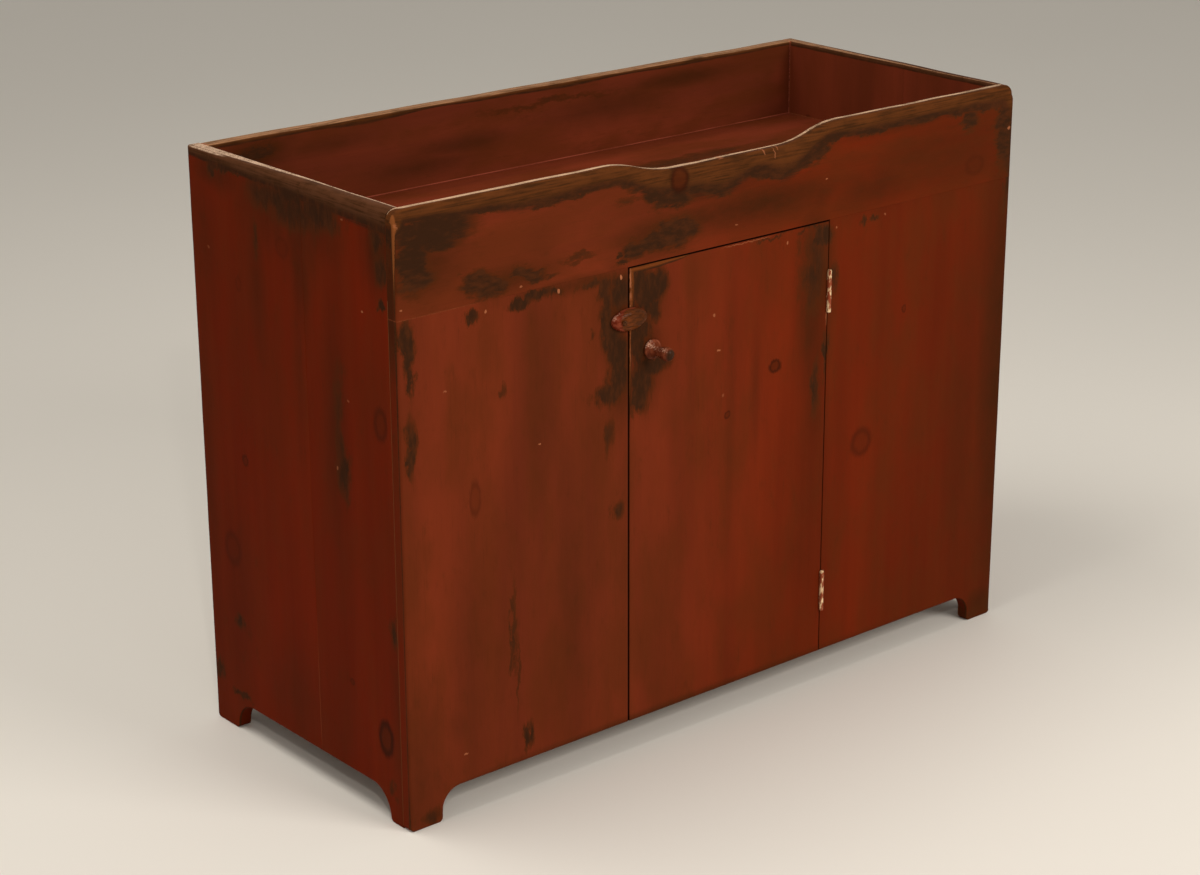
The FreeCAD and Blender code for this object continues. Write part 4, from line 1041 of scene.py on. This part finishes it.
def build_stile(side):
    """An upright board on a sawn foot; side is -1 at the left and 1 at the right."""
    name = "stile_left" if side < 0 else "stile_right"
    width = STILE_HIGH[0] - STILE_LOW[0]
    s = spaced(0, width, FACE_STEP, foot_stations(FRONT_FOOT_W, FRONT_FOOT_R))
    low = underside(s, FRONT_FOOT_W, FRONT_FOOT_R, STILE_CUT_Z)
    stations = s * -side + (LEFT_X if side < 0 else RIGHT_X)
    if side > 0:
        stations, low = stations[::-1], low[::-1]
    high = np.full(stations.shape, SEAM_Z)
    outer = Edge(4.5, 3.6, np.interp(heights(low, high), STILE_BAND_Z, STILE_BAND))
    # Painted shade in the gap is laid only along the left stile's doorway edge.
    doorway = Edge(1.2, 0.9, 0.3, 1.2 if side < 0 else 0.0)
    edges = {
        "low": Edge(2.2, 1.8, 0.8),
        "high": TIGHT,
        "start": outer if side < 0 else doorway,
        "end": doorway if side < 0 else outer,
    }
    paint = painted_board(
        name + "_paint", "xz", "z", FRONT_MARKS, [stations[0], 0], [stations[-1], SEAM_Z],
        20 + side, 0.04 if side < 0 else -0.12, seams=rail_seam,
    )
    piece = slab("worn_" + name, front_place, stations, low, high, FRONT_T, edges, PLAIN, paint, 13 + side)
    dress(piece, "cabinet", "painted_pine", name)


def build_door():
    """A plain plank, its free edge and top arris worn by hands near the button."""
    stations = spaced(DOOR_LOW[0], DOOR_HIGH[0])
    low, high = np.full(stations.shape, DOOR_LOW[2]), np.full(stations.shape, DOOR_HIGH[2])
    # The door's top and free edges carry painted shade where they look into the gap.
    edges = {
        "low": Edge(1.6, 1.2, 0.5),
        "high": Edge(2.0, 1.5, np.interp(stations, DOOR_TOP_X, DOOR_TOP_BAND), 0.5),
        "start": Edge(2.6, 2.0, np.interp(heights(low, high), DOOR_BAND_Z, DOOR_BAND), 0.3),
        "end": Edge(1.5, 1.0, 0.4),
    }
    paint = painted_board(
        "door_paint", "xz", "z", FRONT_MARKS, DOOR_LOW[[0, 2]], DOOR_HIGH[[0, 2]], 31, -0.02,
        woods=DOOR_WOODS,
    )
    piece = slab("worn_door", front_place, stations, low, high, FRONT_T, edges, PLAIN, paint, 17)
    dress(piece, "door", "painted_pine", "door")


def rim_wear(y):
    """Radius worn on an end's outer top arris, growing evenly from back to front."""
    share = (REAR_HIGH[1] - y) / (REAR_HIGH[1] - BOARD_Y)
    return WEAR_BACK + WEAR_GROWTH * share


def build_end_board(side, rear):
    """One of the two boards of an end, on a sawn foot; side is -1 at the left, rear
    the back one. The front one's foot has no corner where the stile covers it."""
    name = "side_" + ("left" if side < 0 else "right") + ("_rear" if rear else "_front") + "_board"
    start, end = (REAR_LOW[1], REAR_HIGH[1]) if rear else (SIDE_LOW[1], SIDE_HIGH[1])
    foot_w = SIDE_FOOT_BACK_W if rear else SIDE_FOOT_FRONT_W - FRONT_T
    s = spaced(0, end - start, FACE_STEP, foot_stations(foot_w, SIDE_FOOT_R))
    low = underside(s, foot_w, SIDE_FOOT_R, SIDE_CUT_H)
    stations = start + s
    if rear:
        stations, low = (end - s)[::-1], low[::-1]
    else:
        low = low - toe(s)
    high = RIM_Z - hollows(7, 130, stations)
    wear = rim_wear(stations)
    edges = {
        "low": Edge(2.2, 1.8, 0.8),
        "high": Edge(wear, wear * 0.9, 4 + 1.4 * wear),
        "start": TIGHT,
        "end": Edge(3.0, 2.5, 2.0) if rear else TIGHT,
    }
    seed = 40 + 3 * side + 5 * rear
    # The left end's rim gets a paler, wider painted sheen than the right.
    marks, pale, least_rim = (LEFT_MARKS, END_PALE_SHEEN, 0.34) if side < 0 else (RIGHT_MARKS, RIM_PALE_SHEEN, 0.2)
    paint = painted_board(
        name + "_paint", "yz", "z", marks, [start, 0], [end, RIM_Z], seed, -0.04, 0.3, END_WOODS,
        (END_SHADE_DEEP, END_SHADE_BRIGHT), pale, end_seams,
    )
    piece = slab(
        "worn_" + name, left_place if side < 0 else right_place, stations, low, high, SIDE_T, edges,
        Edge(2.4, 1.8, 5.0), paint, seed, np.clip((stations - BOARD_Y) / END_RIM_RUN, least_rim, 1),
    )
    dress(piece, "cabinet", "painted_pine", name)


def build_well_back():
    """The rim behind the well: a level board whose top arris is rubbed pale, with painted sheen, all along.
    """
    stations = spaced(BACK_LOW[0], BACK_HIGH[0], 12.0)
    low, high = np.full(stations.shape, BACK_LOW[2]), RIM_Z - hollows(9, 140, stations)
    top = Edge(3.4, 2.6, 5.0 + 2 * waver(19, 200, stations))
    edges = {"low": TIGHT, "high": top, "start": TIGHT, "end": TIGHT}
    paint = painted_board(
        "well_back_paint", "xz", "x", BACK_RIM_MARKS, BACK_LOW[[0, 2]], BACK_HIGH[[0, 2]], 55, -0.15, 0.6,
        reds=(WELL_DEEP, WELL_BRIGHT), seams=well_back_seams, seam_colour=SEAM_INSIDE, unpainted=back_of_rim,
    )
    piece = slab(
        "worn_well_back", back_place, stations, low, high, BACK_HIGH[1] - BACK_LOW[1], edges,
        Edge(3.0, 2.4, 4.0), paint, 21, 1.0,
    )
    dress(piece, "cabinet", "painted_pine", "well_back_board")


# ---- turned and carved pieces ----

KNOB_LIP_R, KNOB_LIP = 15.4, 5.5
KNOB_WAIST_R, KNOB_WAIST_OUT = 7.8, 19.0
KNOB_TIP_R = 10.4
# The power by which the button's thickness falls across it, and the share of the
# thickness that its rim keeps.
BUTTON_POWER, BUTTON_RIM = 2.6, 0.12
# The screw's head: the ball that its crown is cut from, as a multiple of its radius,
# its height from crown to foot, and its slot, turned by half a radian.
SCREW_BALL, SCREW_HEAD_H = 1.1, 2.6
SLOT_TURN, SLOT_HALF_W, SLOT_DEPTH = 0.5, 0.45, 0.9


def carried_round(turns):
    """Angles of a full turn."""
    return np.linspace(0, 2 * math.pi, turns, endpoint=False)


def closed_piece(name, points, attributes, material, sharp=60):
    """A mesh over rings of points, closed on themselves. The points that coincide
    where a ring has shrunk to nothing are joined, so that the poles are closed."""
    faces = ring_faces(np.arange(points[..., 0].size).reshape(points.shape[:2]))
    piece = write_mesh(name, points.reshape(-1, 3), faces, attributes, material, sharp)
    work = bmesh.new()
    work.from_mesh(piece.data)
    bmesh.ops.remove_doubles(work, verts=work.verts, dist=1e-7)
    bmesh.ops.recalc_face_normals(work, faces=work.faces)
    work.to_mesh(piece.data)
    work.free()
    return piece


def build_knob(material):
    """A profile of radii over the reach from the door, carried round an axis along y:
    a half-round lip, a hollow waist that is an arc, a neck that swells by a smooth
    step, and a quarter-round tip."""
    half = KNOB_LIP / 2
    turn = np.linspace(-math.pi / 2, math.pi / 2, 14)
    lip_r = KNOB_LIP_R - half + half * np.cos(turn)
    lip_out = half + half * np.sin(turn)
    fall = lip_r[-1] - KNOB_WAIST_R
    length = KNOB_WAIST_OUT - KNOB_LIP
    hollow_r = (fall * fall + length * length) / (2 * fall)
    out = np.linspace(KNOB_LIP, KNOB_WAIST_OUT, 16)[1:]
    hollow = KNOB_WAIST_R + hollow_r - np.sqrt(hollow_r ** 2 - (KNOB_WAIST_OUT - out) ** 2)
    swell = FRONT_Y - KNOB_LOW[1] - KNOB_TIP_R
    blend = np.linspace(0, 1, 12)[1:]
    neck_out = KNOB_WAIST_OUT + (swell - KNOB_WAIST_OUT) * blend
    neck_r = KNOB_WAIST_R + (KNOB_TIP_R - KNOB_WAIST_R) * blend * blend * (3 - 2 * blend)
    tip = np.linspace(0, math.pi / 2, 16)[1:]
    tip_r = KNOB_TIP_R * np.cos(tip)
    tip_out = swell + KNOB_TIP_R * np.sin(tip)
    radii = np.concatenate([[0.0], lip_r, hollow, neck_r, tip_r])
    outs = np.concatenate([[0.0], lip_out, out, neck_out, tip_out])
    rub = np.clip(radii / KNOB_LIP_R, 0, 1) ** 3 * 0.5 + 0.35 * (outs > swell)
    radii[-1] = 0.0

    angle = carried_round(96)
    points = radii[:, None, None] * np.stack([np.cos(angle), 0 * angle, np.sin(angle)], -1)
    points[..., 1] = -outs[:, None]
    points = points + np.array([KNOB_MIDDLE[0], FRONT_Y, KNOB_MIDDLE[2]])
    piece = closed_piece("polished_knob", points, {"rub": np.repeat(rub, len(angle))}, material)
    dress(piece, "door", "painted_turned_wood", "knob")


def build_button(material):
    """An oval cushion: across it the thickness falls as a power curve, so the top
    is nearly flat and the sides turn down round to the flat back."""
    share = np.sin(np.linspace(0, math.pi / 2, 26))[:, None]
    angle = carried_round(128)
    half, thick = (BUTTON_HIGH - BUTTON_LOW) / 2, BUTTON_HIGH[1] - BUTTON_LOW[1]
    x = BUTTON_MIDDLE[0] + half[0] * share * np.cos(angle)
    z = BUTTON_MIDDLE[2] + half[2] * share * np.sin(angle)
    swell = (1 - share ** BUTTON_POWER) ** 0.5 * (0.9 + 0.1 * waver(61, 30, x, z))
    depth = BUTTON_RIM + (1 - BUTTON_RIM) * np.clip(swell, 0, 1)
    front = np.stack([x, BUTTON_HIGH[1] - thick * depth, z], -1)
    back = np.stack([x, np.full(x.shape, BUTTON_HIGH[1]), z], -1)[::-1]
    rub = np.concatenate([np.repeat(share ** 4, len(angle), axis=1), np.zeros(x.shape)])
    points = np.concatenate([front, back])
    piece = closed_piece("carved_turn_button", points, {"rub": rub.ravel()}, material)
    dress(piece, "turn_button", "painted_turned_wood", "turn_button")


def build_button_screw(material):
    """A domed head with a driver slot: a spherical cap lowered along a stripe."""
    head_r = (SCREW_HIGH[0] - SCREW_LOW[0]) / 2
    ball_r = head_r * SCREW_BALL
    share = np.linspace(0, 1, 22)[:, None]
    angle = carried_round(64)
    x = head_r * share * np.cos(angle)
    z = head_r * share * np.sin(angle)
    cap = ball_r - np.sqrt(ball_r ** 2 - (head_r * share) ** 2)
    across = x * math.cos(SLOT_TURN) + z * math.sin(SLOT_TURN)
    slot = SLOT_DEPTH * (np.abs(across) < SLOT_HALF_W)
    x, z = SCREW_MIDDLE[0] + x, SCREW_MIDDLE[2] + z
    front = np.stack([x, SCREW_LOW[1] + cap + slot, z], -1)
    foot = np.stack([x, np.full(x.shape, SCREW_LOW[1] + SCREW_HEAD_H), z], -1)[::-1]
    piece = closed_piece("button_screw_head", np.concatenate([front, foot]), {}, material, 30)
    dress(piece, "cabinet", "old_steel", "turn_button_screw")


# How deep the nails are set, and how near to their heads' plane a head's points lie.
NAIL_SET = 1.2
HEAD_REACH = 0.5


def sink_nails(node, heads, material):
    """Nails set below the paint: the corners of a node's nails that lie in a plane of
    their heads move in along its axis. heads gives each axis, its plane and the way
    in."""
    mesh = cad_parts[node].data.copy()
    points = np.zeros(len(mesh.vertices) * 3, np.float32)
    mesh.vertices.foreach_get("co", points)
    points = points.reshape(-1, 3)
    for axis, plane, way in heads:
        near = np.abs(points[:, axis] - plane * MM) < HEAD_REACH * MM
        points[near, axis] += way * NAIL_SET * MM
    mesh.vertices.foreach_set("co", points.ravel())
    mesh.materials.clear()
    mesh.materials.append(material)
    dress(new_object("set_" + node, mesh), "cabinet", "old_steel", node)


# ---- build ----

steel = old_steel()
build_rail()
for side in (-1, 1):
    build_stile(side)
    for rear in (False, True):
        build_end_board(side, rear)
build_door()
build_well_back()
build_knob(turned_wood())
build_button(button_wood())
build_button_screw(screw_brown())
sink_nails("front_nails", [(1, FRONT_Y, 1)], steel)
sink_nails("end_nails", [(0, LEFT_X, 1), (0, RIGHT_X, -1)], steel)

# Boards and fittings that stay as the frame has them get a finish of their own.
well_floor = painted_board(
    "well_floor_paint", "xy", "x", FLOOR_MARKS, [BACK_LOW[0], BOARD_Y], [BACK_HIGH[0], BACK_LOW[1]],
    71, -0.12, 0.6, reds=(WELL_DEEP, WELL_BRIGHT), seams=well_floor_seam, seam_colour=SEAM_INSIDE,
    unpainted=under_well_floor,
)
HINGE_PARTS = ["stile_leaf", "door_leaf", "pin"]
KEPT = {
    well_floor: ["well_floor_front_board", "well_floor_rear_board", "well_floor_nails"],
    hinge_metal(): [f"hinge_{place}_{part}" for place in ("top", "bottom") for part in HINGE_PARTS],
    steel: [
        "stile_hinge_screws", "door_hinge_screws", "back_nails", "cleat_nails", "bottom_nails",
        "shelf_nails", "door_batten_nails",
    ],
}
BARE = {
    "z": [f"back_board_{number}" for number in (1, 2, 3, 4)],
    "x": [
        "door_stop_strip", "well_cleat_back", "shelf", "bottom_front_board", "bottom_rear_board",
        "door_batten_top", "door_batten_bottom",
    ],
    "y": [f"{place}_cleat_{side}" for place in ("well", "shelf", "bottom") for side in ("left", "right")],
}
for grain, nodes in BARE.items():
    for node in nodes:
        KEPT[pine_board(node + "_pine", grain, 81 + 4 * len(KEPT))] = [node]
for material, nodes in KEPT.items():
    for node in nodes:
        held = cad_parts[node].data.materials
        held.clear()
        held.append(material)


# ---- floor, light and camera, in metres ----

FLOOR_REACH = 30.0
WARM = (1.0, 0.95, 0.88)
# Each lamp's name, place, what it points at, width and height, and watts.
LAMPS = [
    ("key", (1.2, -4.0, 2.6), (0, 0, 0.5), (2.2, 1.8), 108),
    ("fill", (-3.6, -1.6, 1.8), (0, 0, 0.5), (2.0, 2.0), 3),
    ("spark", (-2.4, -3.0, 2.7), (-0.18, -0.25, 0.66), (0.1, 0.1), 18),
    ("top", (-1.2, 0.4, 3.4), (0.3, 0, 0.8), (2.0, 1.4), 50),
]
# How strongly the room lights the object, and how strongly it is seen.
ROOM_LIGHT, ROOM_SEEN = 0.34, 0.7
CAMERA_PLACE = (-2.5740, -2.9882, 1.8029)
CAMERA_TURN, CAMERA_TILT, CAMERA_ROLL = math.radians(40.03), math.radians(19.16), -0.0036


def floor_paint():
    """Pale and matt, with a faint cloudiness in its gloss."""
    finish = Finish("pale_floor", Base_Color=srgb(240, 236, 229))
    finish.link("Roughness", 0.6 + 0.1 * finish.noise([900] * 3, 91, 2.0))
    return finish.material


def build_floor():
    """A level square, much wider than any view of it."""
    mesh = bpy.data.meshes.new("pale_floor")
    square = [(FLOOR_REACH * x, FLOOR_REACH * y, 0) for x, y in ((-1, -1), (1, -1), (1, 1), (-1, 1))]
    mesh.from_pydata(square, [], [(0, 1, 2, 3)])
    mesh.materials.append(floor_paint())
    floor = new_object("pale_floor", mesh)


def build_lamp(name, place, aim, size, watts):
    """A soft rectangular lamp that faces what it points at."""
    light = bpy.data.lights.new(name, "AREA")
    light.shape = "RECTANGLE"
    light.size, light.size_y = size
    light.energy = watts
    light.color = WARM
    lamp = new_object(name, light)
    lamp.location = place
    lamp.rotation_euler = (Vector(aim) - Vector(place)).to_track_quat("-Z", "Y").to_euler()


def build_room():
    """A pale room: one strength of it lights the object, another shows behind it and
    in its gloss."""
    world = bpy.data.worlds.new("pale_room")
    world.use_nodes = True
    bpy.context.scene.world = world
    nodes, links = world.node_tree.nodes, world.node_tree.links
    rays = nodes.new("ShaderNodeLightPath")
    shown = rays.outputs["Is Camera Ray"]
    for kind in ("Is Glossy Ray", "Is Transmission Ray"):
        either = nodes.new("ShaderNodeMath")
        either.operation = "MAXIMUM"
        links.new(shown, either.inputs[0])
        links.new(rays.outputs[kind], either.inputs[1])
        shown = either.outputs[0]
    strength = nodes.new("ShaderNodeMapRange")
    strength.inputs["To Min"].default_value = ROOM_LIGHT
    strength.inputs["To Max"].default_value = ROOM_SEEN
    links.new(shown, strength.inputs["Value"])
    links.new(strength.outputs[0], nodes["Background"].inputs["Strength"])
    nodes["Background"].inputs["Color"].default_value = srgb(252, 246, 236)


def build_camera():
    """Looks along its turn to the right of +y and its tilt below the level."""
    camera = bpy.data.cameras.new("camera")
    camera.sensor_width = 36.0
    camera.lens = 79.42
    camera.shift_x, camera.shift_y = 0.0014, -0.0185
    level = math.cos(CAMERA_TILT)
    forward = Vector(
        (math.sin(CAMERA_TURN) * level, math.cos(CAMERA_TURN) * level, -math.sin(CAMERA_TILT))
    )
    right = Vector((math.cos(CAMERA_TURN), -math.sin(CAMERA_TURN), 0))
    up = right.cross(forward)
    rolled_right = math.cos(CAMERA_ROLL) * right + math.sin(CAMERA_ROLL) * up
    rolled_up = -math.sin(CAMERA_ROLL) * right + math.cos(CAMERA_ROLL) * up
    turned = Matrix((rolled_right, rolled_up, -forward)).transposed().to_4x4()
    holder = new_object("camera", camera)
    holder.matrix_world = Matrix.Translation(CAMERA_PLACE) @ turned
    bpy.context.scene.camera = holder


build_floor()
build_room()
for lamp in LAMPS:
    build_lamp(*lamp)
build_camera()
bpy.context.scene.view_settings.view_transform = "Standard"
